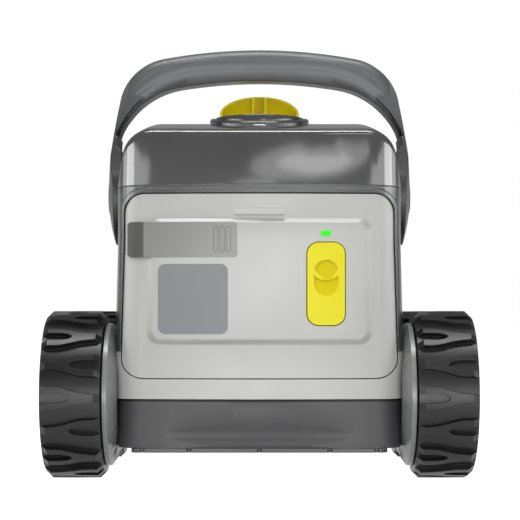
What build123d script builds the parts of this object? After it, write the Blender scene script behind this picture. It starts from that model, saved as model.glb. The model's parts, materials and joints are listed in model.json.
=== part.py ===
"""Cordless pool-cleaning robot, in millimetres.

X runs across the machine, +Y is the way it drives, +Z is up. The origin is on the floor
in the middle between the four wheels. The back, with its charging door, faces -Y.
"""
from build123d import *
import os
from functools import lru_cache
from math import acos, cos, pi, radians, sin, sqrt, tan

# ---- gear train, wheels and brush ----------------------------------------------------
gear_module = 4.0
pinion_teeth = 11
idler_teeth = 14
wheel_teeth = 20
brush_teeth = 11
pressure_angle = 20.0
gear_backlash = 0.5
gear_root_depth = 1.25  # in modules
gear_width = 5.0
gear_side_gap = 1.0

tyre_radius = 85.0
tyre_width = 59.0
tyre_bore_radius = 62.0
lug_height = 5.5
lug_count = 16
lug_wide = 23.5
lug_narrow = 7.8
lug_slot = 9.8
lug_slot_length = 30.0
shoulder_width = 5.8
wheel_gap = 1.5

hub_radius = 17.0
sleeve_radius = 10.0
stub_radius = 6.0
stub_head_radius = 9.0
stub_head = 2.0
bush_wall = 3.0
running_gap = 0.05
fit_gap = 0.3
rim_lip = 4.0
rim_inset = 6.0
rim_dish = 12.0
rim_web = 8.0
window_inner = 26.0
window_outer = 48.0
window_count = 5
window_angle = 40.0
cap_dome = 4.0

brush_radius = 36.0
brush_core_radius = 13.0
brush_half_length = 128.0
brush_shaft_radius = 6.0
brush_fin = 3.5
brush_fin_count = 9
brush_drop_angle = 41.0

# ---- body ----------------------------------------------------------------------------
body_half = 142.0
rear_reach = 180.0
front_reach = 184.0
plan_bow = 10.0
plan_corner = 28.0
wall = 3.0
ground_clearance = 30.0
plate_thickness = 4.0
plate_inset = 15.0
screw_radius = 1.5
screw_head_radius = 3.4
screw_head = 1.4
screw_sink = 0.4
floor_thickness = 3.0
apron_top = 82.0
apron_front = 108.0
frame_bottom = 130.0
seam_z = 296.0
seam_drop = 2.5
crest_z = 372.0
crest_fall = 5.0
lid_fall_y = 70.0
lid_fall = 9.5
cover_lean = 10.2
cover_corner = 32.0
rear_edge_z = 349.0
rear_edge_fillet = 8.0
front_edge_z = 300.0
joint_gap = 0.8

# ---- rear panel ----------------------------------------------------------------------
door_side_margin = 8.5
door_top_margin = 10.2
door_low_margin = 21.5
door_corner = 19.5
door_gap = 1.0
bead_width = 4.6
bead_rise = 1.2
door_sink = 0.6
plateau_half = 95.2
plateau_low = 141.8
plateau_high = 256.7
plateau_corner = 8.0
plateau_rise = 4.0
plateau_spread = 1.68
plateau_spread_z = 1.24
tab_half = 25.0
tab_z = 268.3
tab_height = 6.4
tab_rise = 2.2

badge_left_margin = 3.0
badge_right = -22.1
badge_low = 223.2
badge_high = 257.7
badge_thickness = 1.0
badge_corner = 3.5
window_wide = 4.8
window_tall = 26.0
window_pitch = 6.3
window_from_edge = 8.2
window_proud = 0.5

port_x = 65.7
port_z = 196.7
port_wide = 37.2
port_tall = 81.4
port_corner = 11.4
cap_proud = 2.0
cap_back = 5.0
cap_gap = 0.8
grip_wide = 23.5
grip_tall = 34.5
grip_depth = 3.4
grip_ridge = 4.0
socket_depth = 20.0
socket_wall = 3.0
pin_radius = 2.0
pin_length = 5.0
pin_pitch = 9.0
pin_boss_radius = 13.0
pin_boss = 4.0
seal_wide = 2.4
seal_thick = 3.0
lens_wide = 10.6
lens_tall = 5.2
lens_z = 246.5
lens_proud = 0.8

# ---- outlet, pump and inside ---------------------------------------------------------
outlet_y = -58.0
nozzle_radius = 41.9
nozzle_wall = 3.0
nozzle_tilt = 30.0
nozzle_rise = 6.7
nozzle_bottom = 316.0
vane_half_pitch = 6.6
vane_thickness = 2.4
vane_bottom = 336.0
collar_radius = 47.6
collar_gap = 1.4
collar_rise = 1.5
collar_base_radius = 52.5
collar_base_rise = 2.2
collar_base_round = 3.8
collar_slope = 9.3

duct_wall = 3.6
duct_bottom = 256.0
duct_overlap = 6.0
motor_radius = 30.5
motor_low = 100.0
motor_high = 246.0
turret_wall = 3.2
turret_top = 165.0
spider_ring = 3.4
spider_flange = 3.0
spider_rib = 4.0
prop_gap = 1.6
prop_hub_radius = 9.0
prop_hub_height = 16.0
prop_z = 282.0
prop_blades = 3
prop_pitch = 35.0
prop_blade = 2.4
shaft_radius = 3.0
shaft_depth = 18.0

battery_half = 100.0
battery_gap = 14.0
battery_turret_gap = 4.0
battery_height = 66.0
battery_corner = 6.0
board_half = 62.0
board_thickness = 1.6
chip_height = 4.0
drive_motor_radius = 17.0
drive_motor_length = 46.0
drive_shaft_radius = 4.0

mouth_half = 52.0
mouth_back = 46.0
mouth_front = 104.0
mouth_lip_z = 12.0
duct_sheet = 2.5
basket_half = 78.0
basket_back = 14.0
basket_front = 140.0
basket_floor = 112.0
basket_top = 292.0
basket_wall = 2.4
basket_corner = 8.0
mesh_thickness = 0.8
flap_thickness = 2.0
flap_pin_radius = 2.0

# ---- lid, hinge and latch ------------------------------------------------------------
lid_joint_y = 8.0
hinge_x = 80.0
hinge_barrel = 4.2
hinge_pin = 1.8
knuckle = 9.0
latch_half = 14.0
latch_y = 26.0
latch_length = 13.0
latch_flange = 2.0

# ---- carry handle --------------------------------------------------------------------
pivot_y = -58.0
pivot_drop = 6.0
boss_radius = 50.0
boss_dome = 7.5
boss_thickness = 15.6
handle_boss_gap = 1.0
handle_clearance = 9.5
grip_height = 33.2
grip_round = 11.0
grip_bevel = 8.7
shoulder_in = 57.3
shoulder_drop = 9.3
leg_in = 13.1
leg_drop = 53.7
leg_spread_rise = 4.0
inner_crown_in = 18.0
inner_crown_drop = 6.9
inner_leg_in = 4.5
inner_leg_drop = 50.5
handle_depth = 34.0
arm_thickness = 10.4
pivot_radius = 9.0
pivot_flange_radius = 14.0
pivot_seat_radius = 16.0
pivot_seat = 8.0
pivot_flange = 3.0
pivot_cap_radius = 17.0
pivot_cap = 1.6

# ---- gear case -----------------------------------------------------------------------
ring_radius = 72.7
ring_thickness = 12.5
ring_flare = 8.0
ring_flare_rise = 12.0
case_cover = 2.5
case_wall = 3.0
case_rim = 3.5
web_half = 50.0
tip_gap = 1.5

# ---- worked out from the sizes above -------------------------------------------------
axle_y = gear_module * (pinion_teeth / 2 + idler_teeth + wheel_teeth / 2)
axle_z = tyre_radius
idler_y = gear_module * (pinion_teeth + idler_teeth) / 2
brush_reach = gear_module * (wheel_teeth + brush_teeth) / 2
brush_y = axle_y + brush_reach * cos(radians(brush_drop_angle))
brush_z = axle_z - brush_reach * sin(radians(brush_drop_angle))
case_inner = body_half
case_outer = case_inner + ring_thickness
gear_inner = case_inner + case_cover + gear_side_gap
wheel_inner = case_outer + wheel_gap
wheel_mid = wheel_inner + tyre_width / 2
chassis_bottom = ground_clearance + plate_thickness
floor_top = chassis_bottom + floor_thickness
collar_bore = nozzle_radius + collar_gap
nozzle_bore = nozzle_radius - nozzle_wall
duct_outer = nozzle_bore - fit_gap
duct_bore = duct_outer - duct_wall
turret_radius = motor_radius + fit_gap + turret_wall
door_half = body_half - door_side_margin
door_high = seam_z - door_top_margin
door_low = apron_top + door_low_margin
badge_left = -door_half + badge_left_margin
nozzle_z = crest_z + nozzle_rise
collar_top = crest_z + collar_rise
battery_back = rear_reach - battery_gap
battery_front = turret_radius + battery_turret_gap - outlet_y
pivot_z = seam_z - pivot_drop
handle_half = body_half + handle_boss_gap + boss_thickness
handle_under = nozzle_z + nozzle_radius * tan(radians(nozzle_tilt)) + handle_clearance
handle_top = handle_under + grip_height
hinge_y = front_reach + hinge_barrel * 0.7
hinge_z = seam_z - joint_gap / 2
rear_skin = -rear_reach
SIDES = {"left": -1, "right": 1}
ENDS = {"rear": -1, "front": 1}


# ---- helpers -------------------------------------------------------------------------
def save(name, shape):
    """Write one piece, as a solid or as a group of solids, to its own STEP file."""
    pieces = shape if isinstance(shape, list) and not hasattr(shape, "solids") else [shape]
    solids = [solid for piece in pieces for solid in piece.solids()]
    export_step(solids[0] if len(solids) == 1 else Compound(solids), f"parts/{name}.step")


def block(x0, x1, y0, y1, z0, z1):
    """A box between two opposite corners."""
    return Pos((x0 + x1) / 2, (y0 + y1) / 2, (z0 + z1) / 2) * Box(x1 - x0, y1 - y0, z1 - z0)


def rod(radius, start, end, x=0.0, y=0.0, z=0.0, axis="X"):
    """A round rod along an axis, from start to end on that axis, through the given point."""
    length = abs(end - start)
    middle = (start + end) / 2
    if axis == "X":
        return Pos(middle, y, z) * Rot(0, 90, 0) * Cylinder(radius, length)
    if axis == "Y":
        return Pos(x, middle, z) * Rot(90, 0, 0) * Cylinder(radius, length)
    return Pos(x, y, middle) * Cylinder(radius, length)


def across(face, x0, x1):
    """Extrude a side view, drawn as (Y, Z), from x0 to x1."""
    return extrude(Plane.YZ.offset(x0) * face, amount=x1 - x0, dir=(1, 0, 0))


def along(face, y0, y1):
    """Extrude a front view, drawn as (X, Z), from y0 forward to y1."""
    return extrude(Plane.XZ.offset(-y1) * face, amount=y1 - y0, dir=(0, -1, 0))


def panel(left, right, low, high, corner):
    """A rounded rectangle drawn as (X, Z)."""
    return Pos((left + right) / 2, (low + high) / 2) * RectangleRounded(right - left, high - low, corner)


def mirrored(shape, side):
    """The right-hand shape as it is, or its left-hand twin."""
    return shape if side > 0 else mirror(shape, Plane.YZ)


# ---- the outer form that all casings are cut from ------------------------------------
def front_view():
    """Upright sides that lean in above the seam and go on past the roof."""
    high = crest_z + 40
    top_half = body_half - (high - seam_z) * tan(radians(cover_lean))
    return make_face(
        Polyline(
            (-body_half, 0),
            (body_half, 0),
            (body_half, seam_z),
            (top_half, high),
            (-top_half, high),
            (-body_half, seam_z),
            close=True,
        )
    )


def crest_line(inset=0.0):
    """The roof line from the back to the nose as (Y, Z), or a line at the inset under it."""
    spare = 2 * plan_bow
    line = Spline(
        (-rear_reach - spare, rear_edge_z - spare / 6),
        (outlet_y - 12, crest_z - crest_fall),
        (0, crest_z),
        (lid_fall_y, crest_z - lid_fall),
        (front_reach + spare / 2, front_edge_z - spare / 2),
        tangents=[(1, tan(radians(collar_slope))), (1, -1)],
    )
    if not inset:
        return line
    points = [line @ t + (line % t).rotate(Axis.Z, -90) * inset for t in (0, 0.25, 0.5, 0.75, 1)]
    return Spline(*points, tangents=[line % 0, line % 1])


def side_view(inset=0.0):
    """Rising from the back edge to a crest over the middle, then falling to the nose."""
    crest = crest_line(inset)
    rear, front = (crest @ 0).X, (crest @ 1).X
    return make_face(
        [
            crest,
            Line(crest @ 1, (front, 0)),
            Line((front, 0), (rear, 0)),
            Line((rear, 0), crest @ 0),
        ]
    )


def plan_view():
    """Slightly bowed back and nose with round corners."""
    back, nose = -rear_reach + plan_bow, front_reach - plan_bow
    outline = make_face(
        [
            ThreePointArc((-body_half, back), (0, -rear_reach), (body_half, back)),
            Line((body_half, back), (body_half, nose)),
            ThreePointArc((body_half, nose), (0, front_reach), (-body_half, nose)),
            Line((-body_half, nose), (-body_half, back)),
        ]
    )
    return fillet(outline.vertices(), plan_corner)


@lru_cache(maxsize=None)
def form(inset=0.0, rounded=False):
    """The body's outer form, drawn in by inset."""
    front, plan = front_view(), plan_view()
    if inset:
        front, plan = offset(front, -inset), offset(plan, -inset)
    side = side_view(inset)
    reach = 2 * (rear_reach + front_reach)
    shape = extrude(Plane.XZ * front, amount=reach, both=True) & extrude(Plane.YZ * side, amount=reach, both=True)
    shoulders = [
        e for e in shape.edges()
        if e.geom_type == GeomType.BSPLINE and abs(e.center().X) > body_half / 2 and e.center().Z > seam_z
    ]
    shape = fillet(shoulders, cover_corner - inset)
    shape &= Pos(0, 0, -reach) * extrude(plan, amount=2 * reach)
    if rounded:
        back = [e for e in shape.edges() if e.center().Z > seam_z and e.center().Y < -rear_reach * 0.8]
        shape = fillet(back, rear_edge_fillet)
    return shape


def seam_face(low, lift=0.0):
    """Front view of all that is under the cover's seam, whose ends drop a little."""
    wide = body_half + 20
    drop = seam_drop * (wide / body_half) ** 2
    return make_face(
        [
            Line((-wide, low), (wide, low)),
            Line((wide, low), (wide, seam_z - drop + lift)),
            ThreePointArc((wide, seam_z - drop + lift), (0, seam_z + lift), (-wide, seam_z - drop + lift)),
            Line((-wide, seam_z - drop + lift), (-wide, low)),
        ]
    )


def below_seam(low, lift=0.0):
    """The block between the height low and the seam."""
    return along(seam_face(low, lift), -rear_reach - 30, front_reach + 30)


def upright(inset=0.0):
    """The body's upright part without its top, drawn in by inset or grown where inset is negative."""
    plan = offset(plan_view(), -inset) if inset else plan_view()
    return extrude(plan, amount=seam_z + 40)


def rear_skin_piece(outline, outer, inner):
    """A piece of skin on the back, between two insets of the body's plan."""
    prism = along(outline, -rear_reach - 30, -rear_reach / 2)
    return (prism & upright(outer)) - upright(inner)


def door_outline(grow=0.0):
    return panel(-door_half - grow, door_half + grow, door_low - grow, door_high + grow, door_corner + grow)


# ---- casings -------------------------------------------------------------------------
def apron_view():
    """Side view of the lower casing: a full round belly at the back that turns out again at the hem."""
    back = -rear_reach + 1.0
    hem_z = chassis_bottom
    belly = Spline(
        (back, apron_top),
        (back - 1.2, apron_top - 19),
        (back + 3.4, hem_z + 13),
        (back - 0.2, hem_z + 3),
        tangents=[(-0.4, -1), (-0.5, -1)],
    )
    return make_face(
        [
            belly,
            Line(belly @ 1, (back + 2.5, hem_z)),
            Line((back + 2.5, hem_z), (apron_front, hem_z)),
            Line((apron_front, hem_z), (apron_front, apron_top)),
            Line((apron_front, apron_top), (back, apron_top)),
        ]
    )


def base_chassis():
    """The lower casing: a tub with the intake's cut-out, the pump motor's turret and the apron."""
    outer = across(apron_view(), -body_half, body_half)
    outer &= Pos(0, 0, -1) * extrude(plan_view(), amount=apron_top + 2)
    tub = block(
        -body_half + wall, body_half - wall, -rear_reach + plan_bow + wall, apron_front - wall, floor_top, apron_top
    )
    tub &= Pos(0, 0, -1) * extrude(offset(plan_view(), -wall), amount=apron_top + 2)
    turret = rod(turret_radius, floor_top, turret_top, y=outlet_y, axis="Z")
    bore = rod(motor_radius + fit_gap, motor_low, turret_top, y=outlet_y, axis="Z")
    well = rod(motor_radius - 4, floor_top, motor_low - wall, y=outlet_y, axis="Z")
    mouth = block(
        -mouth_half - fit_gap, mouth_half + fit_gap, mouth_back - fit_gap, mouth_front - 1, 0, floor_top
    )
    mouth += block(-mouth_half - fit_gap, mouth_half + fit_gap, mouth_front - 1, apron_front, 0, apron_top)
    shaft = rod(drive_shaft_radius + 2, -body_half, body_half, z=axle_z)
    return outer - tub + turret - bore - well - mouth - shaft - screw_holes(screw_radius, floor_top + 1)


def bottom_plate():
    """The service plate under the tub, with the intake mouth's lip and its chimney up to the basket."""
    half = body_half - plate_inset
    plate = block(-half, half, -rear_reach + 4, apron_front, ground_clearance, chassis_bottom)
    plate = fillet(plate.edges().filter_by(Axis.Z), 8)
    chimney = block(-mouth_half, mouth_half, mouth_back, mouth_front, mouth_lip_z, basket_floor)
    passage = block(
        -mouth_half + duct_sheet,
        mouth_half - duct_sheet,
        mouth_back + duct_sheet,
        mouth_front - duct_sheet,
        0,
        basket_floor,
    )
    notches = [
        rod(2.4, ground_clearance - 1, chassis_bottom, x=x, y=-rear_reach + 4, axis="Z")
        for x in screw_rows()
    ]
    heads = screw_holes(screw_head_radius, ground_clearance + screw_sink + screw_head)
    return plate + chimney - passage - notches - heads - screw_holes(screw_radius, chassis_bottom + 1)


def screw_rows():
    """Where the plate's screws stand, across the machine."""
    half = body_half - plate_inset - 11
    return [-half, -half * 0.6, 0.0, half * 0.6, half]


def screw_places():
    """The middle of each screw of the service plate, as (x, y)."""
    return [(x, y) for y in (-rear_reach + 22, 0.0) for x in screw_rows() if x or y]


def screw_holes(radius, top):
    """Upright holes round the plate's screws, up to the given height."""
    return [
        rod(radius + fit_gap / 2, ground_clearance - 1, top, x=x, y=y, axis="Z") for x, y in screw_places()
    ]


def lower_shell():
    """The pale band round the body between the lower casing and the dark frame."""
    band = (form() - form(wall)) & block(
        -body_half, body_half, -rear_reach, front_reach, apron_top + joint_gap, frame_bottom
    )
    opening = along(door_outline(door_gap), -rear_reach - 30, -rear_reach / 2)
    shaft = rod(drive_shaft_radius + 2, -body_half, body_half, z=axle_z)
    return band - opening - shaft


def upper_frame():
    """The dark frame under the cover, with a raised bead round the rear panel and the lid's hinge ears."""
    ring = (form() - form(wall)) & below_seam(frame_bottom)
    bead = rear_skin_piece(door_outline(door_gap + bead_width), -bead_rise, wall) & block(
        -body_half, body_half, -rear_reach - 30, 0, frame_bottom, seam_z - 2
    )
    opening = along(door_outline(door_gap), -rear_reach - 30, -rear_reach / 2)
    frame = ring + bead - opening
    for side in (-1, 1):
        frame += hinge_ear(side * (hinge_x - 1.5 * knuckle), side * (hinge_x - knuckle / 2), -1)
        frame += hinge_ear(side * (hinge_x + knuckle / 2), side * (hinge_x + 1.5 * knuckle), -1)
        seat = rod(pivot_seat_radius, side * (body_half - pivot_seat), side * body_half, y=pivot_y, z=pivot_z)
        frame += seat
        frame -= rod(pivot_radius, side * 0.5 * body_half, side * (body_half + 1), y=pivot_y, z=pivot_z)
    return frame - rod(hinge_pin, -body_half, body_half, y=hinge_y, z=hinge_z)


def hinge_ear(x0, x1, up):
    """One barrel of the lid's hinge and the foot that joins it to the nose, above or below it."""
    x0, x1 = sorted((x0, x1))
    barrel = rod(hinge_barrel, x0, x1, y=hinge_y, z=hinge_z)
    reach = 2.6 * hinge_barrel
    foot = make_face(
        Polyline(
            (hinge_y, hinge_z + up * hinge_barrel),
            (hinge_y - hinge_barrel * 0.9, hinge_z + up * reach),
            (hinge_y - 3 * hinge_barrel, hinge_z + up * reach),
            (hinge_y - 3 * hinge_barrel, hinge_z + up * joint_gap / 2),
            (hinge_y, hinge_z + up * joint_gap / 2),
            close=True,
        )
    )
    return (barrel + across(foot, x0, x1)) - form(wall)


def rear_panel():
    """The service panel at the back: a skin that follows the body, with a raised field and a finger tab."""
    skin = rear_skin_piece(door_outline(), door_sink, wall)
    y_back, y_front = -rear_reach - 30, -rear_reach + plan_bow + wall
    depth = plan_bow + plateau_rise
    wide, tall = plateau_spread * depth, plateau_spread_z * depth
    crown = panel(-plateau_half, plateau_half, plateau_low, plateau_high, plateau_corner)
    base = panel(-plateau_half - wide, plateau_half + wide, plateau_low - tall, plateau_high + tall,
                 plateau_corner + wide)
    field = loft([Plane.XZ.offset(rear_reach - plan_bow) * base, Plane.XZ.offset(rear_reach + plateau_rise) * crown])
    field = (field & upright(-plateau_rise)) - upright(wall)
    tab = panel(-tab_half, tab_half, tab_z - tab_height / 2, tab_z + tab_height / 2, 1.5)
    whole = skin + field + rear_skin_piece(tab, -tab_rise, wall)
    port = along(panel_port(cap_gap), y_back, y_front + 40)
    lens = along(panel(port_x - lens_wide / 2, port_x + lens_wide / 2, lens_z - lens_tall / 2,
                       lens_z + lens_tall / 2, lens_tall / 2 - 0.1), y_back, y_front + 40)
    return whole - port - lens


def panel_port(grow):
    """Front view of the charging port, grown all round."""
    return panel(
        port_x - port_wide / 2 - grow,
        port_x + port_wide / 2 + grow,
        port_z - port_tall / 2 - grow,
        port_z + port_tall / 2 + grow,
        port_corner + grow,
    )


def badge_plate():
    """The plain plate at the top left, from the panel's edge over the raised field."""
    outline = panel(badge_left, badge_right, badge_low, badge_high, badge_corner)
    plate = rear_skin_piece(outline, -plateau_rise - badge_thickness, door_sink)
    return plate - rear_panel()


def window_outline(k):
    """One of the three upright windows near the plate's right end."""
    x = badge_right - window_from_edge - k * window_pitch
    z = (badge_low + badge_high) / 2
    return Pos(x, z) * RectangleRounded(window_wide, window_tall, window_wide / 2 - 0.1)


def badge_windows():
    """Three charge-level windows in the plate."""
    return [
        rear_skin_piece(window_outline(k), -plateau_rise - badge_thickness - window_proud,
                        -plateau_rise - badge_thickness - running_gap)
        for k in range(3)
    ]


def status_lens():
    """The light's lens above the charging port."""
    outline = panel(port_x - lens_wide / 2 + running_gap, port_x + lens_wide / 2 - running_gap,
                    lens_z - lens_tall / 2 + running_gap, lens_z + lens_tall / 2 - running_gap,
                    lens_tall / 2 - 0.2)
    return rear_skin_piece(outline, -plateau_rise - lens_proud, wall)


# ---- charging port -------------------------------------------------------------------
def port_plane(depth):
    """How far back a plane in the port lies, measured in from the back of the body."""
    return -rear_reach + depth


def charge_socket():
    """The well behind the cap, with a round boss for the contact pins."""
    grow = cap_gap + socket_wall
    floor_y = port_plane(socket_depth)
    housing = along(panel_port(grow), -rear_reach - 10, floor_y + socket_wall) & form(wall + running_gap)
    well = along(panel_port(cap_gap), -rear_reach - 10, floor_y)
    boss = rod(pin_boss_radius, floor_y - pin_boss, floor_y, x=port_x, z=port_z, axis="Y")
    holes = [
        rod(pin_radius, floor_y - pin_boss - 1, floor_y + socket_wall + 1, x=port_x + x, z=port_z, axis="Y")
        for x in (-pin_pitch / 2, pin_pitch / 2)
    ]
    return housing - well + boss - holes


def socket_pins():
    """Two charging contacts that stand out of the boss."""
    floor_y = port_plane(socket_depth)
    return [
        rod(pin_radius, floor_y - pin_boss - pin_length, floor_y + socket_wall, x=port_x + x, z=port_z, axis="Y")
        for x in (-pin_pitch / 2, pin_pitch / 2)
    ]


def charge_cap():
    """The pull-off cap: a thick rounded slab with a finger grip on both sides of a curved ridge."""
    slab = along(panel_port(0), -rear_reach - 30, port_plane(cap_back)) & upright(-plateau_rise - cap_proud)
    surface = -rear_reach - plateau_rise - cap_proud + 1.6
    middle = port_z + 6
    grip = Pos(port_x, middle) * RectangleRounded(grip_wide, grip_tall, grip_wide / 2 - 0.5)
    ridge_z = middle + grip_wide / 2 + 1
    ridge = Pos(port_x, ridge_z) * (Circle(grip_wide / 2 + grip_ridge) - Circle(grip_wide / 2))
    ridge &= Pos(port_x, ridge_z - grip_wide / 2) * Rectangle(grip_wide + 2, grip_wide)
    dish = along(grip - ridge, -rear_reach - 30, surface + grip_depth)
    return slab - dish


def charge_seal():
    """The cap's rubber seal, a ring on its back edge."""
    y0 = port_plane(cap_back)
    ring = panel_port(-1.0) - panel_port(-1.0 - seal_wide)
    return along(ring, y0, y0 + seal_thick)


# ---- cover, lid, outlet --------------------------------------------------------------
def collar():
    """The raised seat round the outlet: a round tier square to the slope, level in front, and an upright rim."""
    tier_z = collar_top + collar_base_rise - collar_rise
    tier = Pos(0, outlet_y, tier_z) * Rot(collar_slope, 0, 0) * Pos(0, 0, -12) * Cylinder(collar_base_radius, 24)
    tier = fillet(tier.edges().sort_by(Axis.Z)[-1], collar_base_round)
    tier &= block(-body_half, body_half, -rear_reach, front_reach, seam_z, tier_z + 0.1)
    rim = rod(collar_radius, tier_z - 24, collar_top, y=outlet_y, axis="Z")
    rim = fillet(rim.edges().sort_by(Axis.Z)[-1], 1.6)
    return tier + rim


def top_cover():
    """The glossy cover over the back half, with the outlet's collar."""
    skin = form(0.0, True) - form(wall)
    skin -= below_seam(0, joint_gap / 2)
    skin &= block(-body_half, body_half, -rear_reach, lid_joint_y - joint_gap / 2, 0, crest_z + 20)
    skin += collar() - form(wall)
    for side in (-1, 1):
        notch = rod(pivot_seat_radius + joint_gap, side * body_half / 2, side * (body_half + 1), y=pivot_y, z=pivot_z)
        skin -= notch
    return skin - rod(collar_bore, 0, nozzle_z, y=outlet_y, axis="Z")


def filter_lid():
    """The front half of the cover, which tips forward over the basket."""
    skin = form(0.0, True) - form(wall)
    skin -= below_seam(0, joint_gap / 2)
    skin &= block(-body_half, body_half, lid_joint_y + joint_gap / 2, front_reach, 0, crest_z + 20)
    for side in (-1, 1):
        half = knuckle / 2 - fit_gap
        skin += hinge_ear(side * hinge_x - half, side * hinge_x + half, 1)
    skin -= rod(hinge_pin + running_gap, -body_half, body_half, y=hinge_y, z=hinge_z)
    return skin - latch_prism(fit_gap)


def latch_prism(grow):
    """The latch button's outline, taken straight down."""
    half_length = latch_length / 2
    outline = Pos(0, latch_y) * RectangleRounded(2 * (latch_half + grow), 2 * (half_length + grow), 4 + grow)
    return Pos(0, 0, crest_z - 20) * extrude(outline, amount=40)


def lid_latch():
    """The push button that frees the lid, with a flange that keeps it in."""
    button = (latch_prism(0) & Pos(0, 0, 0.6) * form()) - form(wall + latch_flange)
    flange = (latch_prism(2.5) & form(wall + fit_gap)) - form(wall + latch_flange)
    return button + flange


def lid_hinge_pins():
    """One pin through the three barrels of each hinge."""
    return [
        rod(hinge_pin, side * hinge_x - 1.5 * knuckle, side * hinge_x + 1.5 * knuckle, y=hinge_y, z=hinge_z)
        for side in (-1, 1)
    ]


def mouth_cut():
    """The slanting plane that the outlet's mouth is cut to: open towards the back and up."""
    high = 4 * nozzle_radius
    return Pos(0, outlet_y, nozzle_z) * Rot(nozzle_tilt, 0, 0) * Pos(0, 0, high / 2) * Box(high, 2 * high, high)


def outlet_nozzle():
    """The outlet: an upright tube cut on a slant, with two flow-straightening vanes."""
    top = nozzle_z + nozzle_radius
    tube = rod(nozzle_radius, nozzle_bottom, top, y=outlet_y, axis="Z")
    bore = rod(nozzle_bore, nozzle_bottom, top, y=outlet_y, axis="Z")
    vanes = [
        block(
            side * vane_half_pitch - vane_thickness / 2,
            side * vane_half_pitch + vane_thickness / 2,
            outlet_y - nozzle_radius,
            outlet_y + nozzle_radius,
            vane_bottom,
            top,
        )
        for side in (-1, 1)
    ]
    inner = rod(nozzle_bore + 0.5, nozzle_bottom, top, y=outlet_y, axis="Z")
    return (tube - bore + [vane & inner for vane in vanes]) - mouth_cut()


# ---- pump ----------------------------------------------------------------------------
def pump_housing():
    """The pump's duct, held over the motor by a spider of ribs."""
    top = nozzle_bottom + duct_overlap
    duct = rod(duct_outer, duct_bottom, top, y=outlet_y, axis="Z") - rod(
        duct_bore, duct_bottom, top, y=outlet_y, axis="Z"
    )
    ledge = rod(nozzle_radius, nozzle_bottom - 3, nozzle_bottom, y=outlet_y, axis="Z") - rod(
        duct_bore, nozzle_bottom - 3, nozzle_bottom, y=outlet_y, axis="Z"
    )
    ring_outer = motor_radius + fit_gap + spider_ring
    ring = rod(ring_outer, motor_high - 14, motor_high + spider_flange, y=outlet_y, axis="Z")
    ring -= rod(motor_radius + fit_gap, motor_high - 14, motor_high, y=outlet_y, axis="Z")
    ring -= rod(motor_radius - 8, motor_high, motor_high + spider_flange, y=outlet_y, axis="Z")
    rib = block(motor_radius + fit_gap + 0.5, duct_outer - 0.5, -spider_rib / 2, spider_rib / 2, motor_high - 10,
                duct_bottom + 8)
    rib += block(motor_radius - 6, duct_bore + 1, -spider_rib / 2, spider_rib / 2, motor_high,
                 motor_high + spider_flange)
    ribs = [Pos(0, outlet_y, 0) * Rot(0, 0, 120 * k + 30) * rib for k in range(3)]
    return duct + ledge + ring + ribs


def pump_motor():
    """The sealed pump motor, with a bearing bore for the propeller's shaft."""
    can = rod(motor_radius, motor_low, motor_high, y=outlet_y, axis="Z")
    can = chamfer(can.edges().sort_by(Axis.Z)[0], 2)
    return can - rod(shaft_radius + running_gap, motor_high - shaft_depth, motor_high, y=outlet_y, axis="Z")


def propeller():
    """Three twisted blades on a round-nosed hub and its shaft."""
    hub = rod(prop_hub_radius, prop_z, prop_z + prop_hub_height, axis="Z")
    hub = fillet(hub.edges().sort_by(Axis.Z)[-1], prop_hub_radius * 0.6)
    tip = duct_bore - prop_gap
    root_face = Plane((0, 0, prop_z + prop_hub_height * 0.42), x_dir=(0, 1, 0), z_dir=(1, 0, 0))
    root = root_face.offset(prop_hub_radius - 2) * Rot(0, 0, prop_pitch) * Rectangle(prop_hub_radius * 1.5, prop_blade)
    end = root_face.offset(tip) * Rot(0, 0, prop_pitch * 0.6) * Rectangle(prop_hub_radius * 2.4, prop_blade * 0.7)
    blade = loft([root, end])
    shaft = rod(shaft_radius, motor_high - shaft_depth + 1, prop_z + 1, axis="Z")
    blades = [Rot(0, 0, 360 / prop_blades * k) * blade for k in range(prop_blades)]
    inside = rod(tip, prop_z - 20, prop_z + 40, axis="Z")
    return Pos(0, outlet_y, 0) * ((hub + blades) & inside) + Pos(0, outlet_y, 0) * shaft


# ---- power and control ---------------------------------------------------------------
def battery_pack():
    """The sealed battery on the tub's floor."""
    pack = block(-battery_half, battery_half, -battery_back, -battery_front, floor_top, floor_top + battery_height)
    return fillet(pack.edges().filter_by(Axis.Z), battery_corner)


def control_board():
    """The control board on the battery's lid, with its large parts."""
    z = floor_top + battery_height
    mid = -(battery_back + battery_front) / 2
    deep = (battery_back - battery_front) / 2 - 6
    board = block(-board_half, board_half, mid - deep, mid + deep, z, z + board_thickness)
    top = z + board_thickness
    parts = [block(x - w, x + w, mid - d, mid + d, top, top + chip_height * h)
             for x, w, d, h in ((-40, 9, 9, 0.6), (0, 12, 14, 1.0), (38, 10, 18, 2.2))]
    return board + parts


def drive_motors():
    """The two gear motors, seated on the inside of the body's walls."""
    inner = body_half - wall
    motor = rod(drive_motor_radius, inner - drive_motor_length, inner, z=axle_z)
    motor -= rod(drive_shaft_radius + running_gap, inner - 16, inner, z=axle_z)
    return [mirrored(motor, side) for side in (-1, 1)]


# ---- filter --------------------------------------------------------------------------
def basket_tray(grow, low, high):
    """The basket's rounded plan, from low to high."""
    mid = (basket_back + basket_front) / 2
    deep = basket_front - basket_back
    plan = Pos(0, mid) * RectangleRounded(2 * (basket_half + grow), deep + 2 * grow, basket_corner + grow)
    return Pos(0, 0, low) * extrude(plan, amount=high - low)


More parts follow.
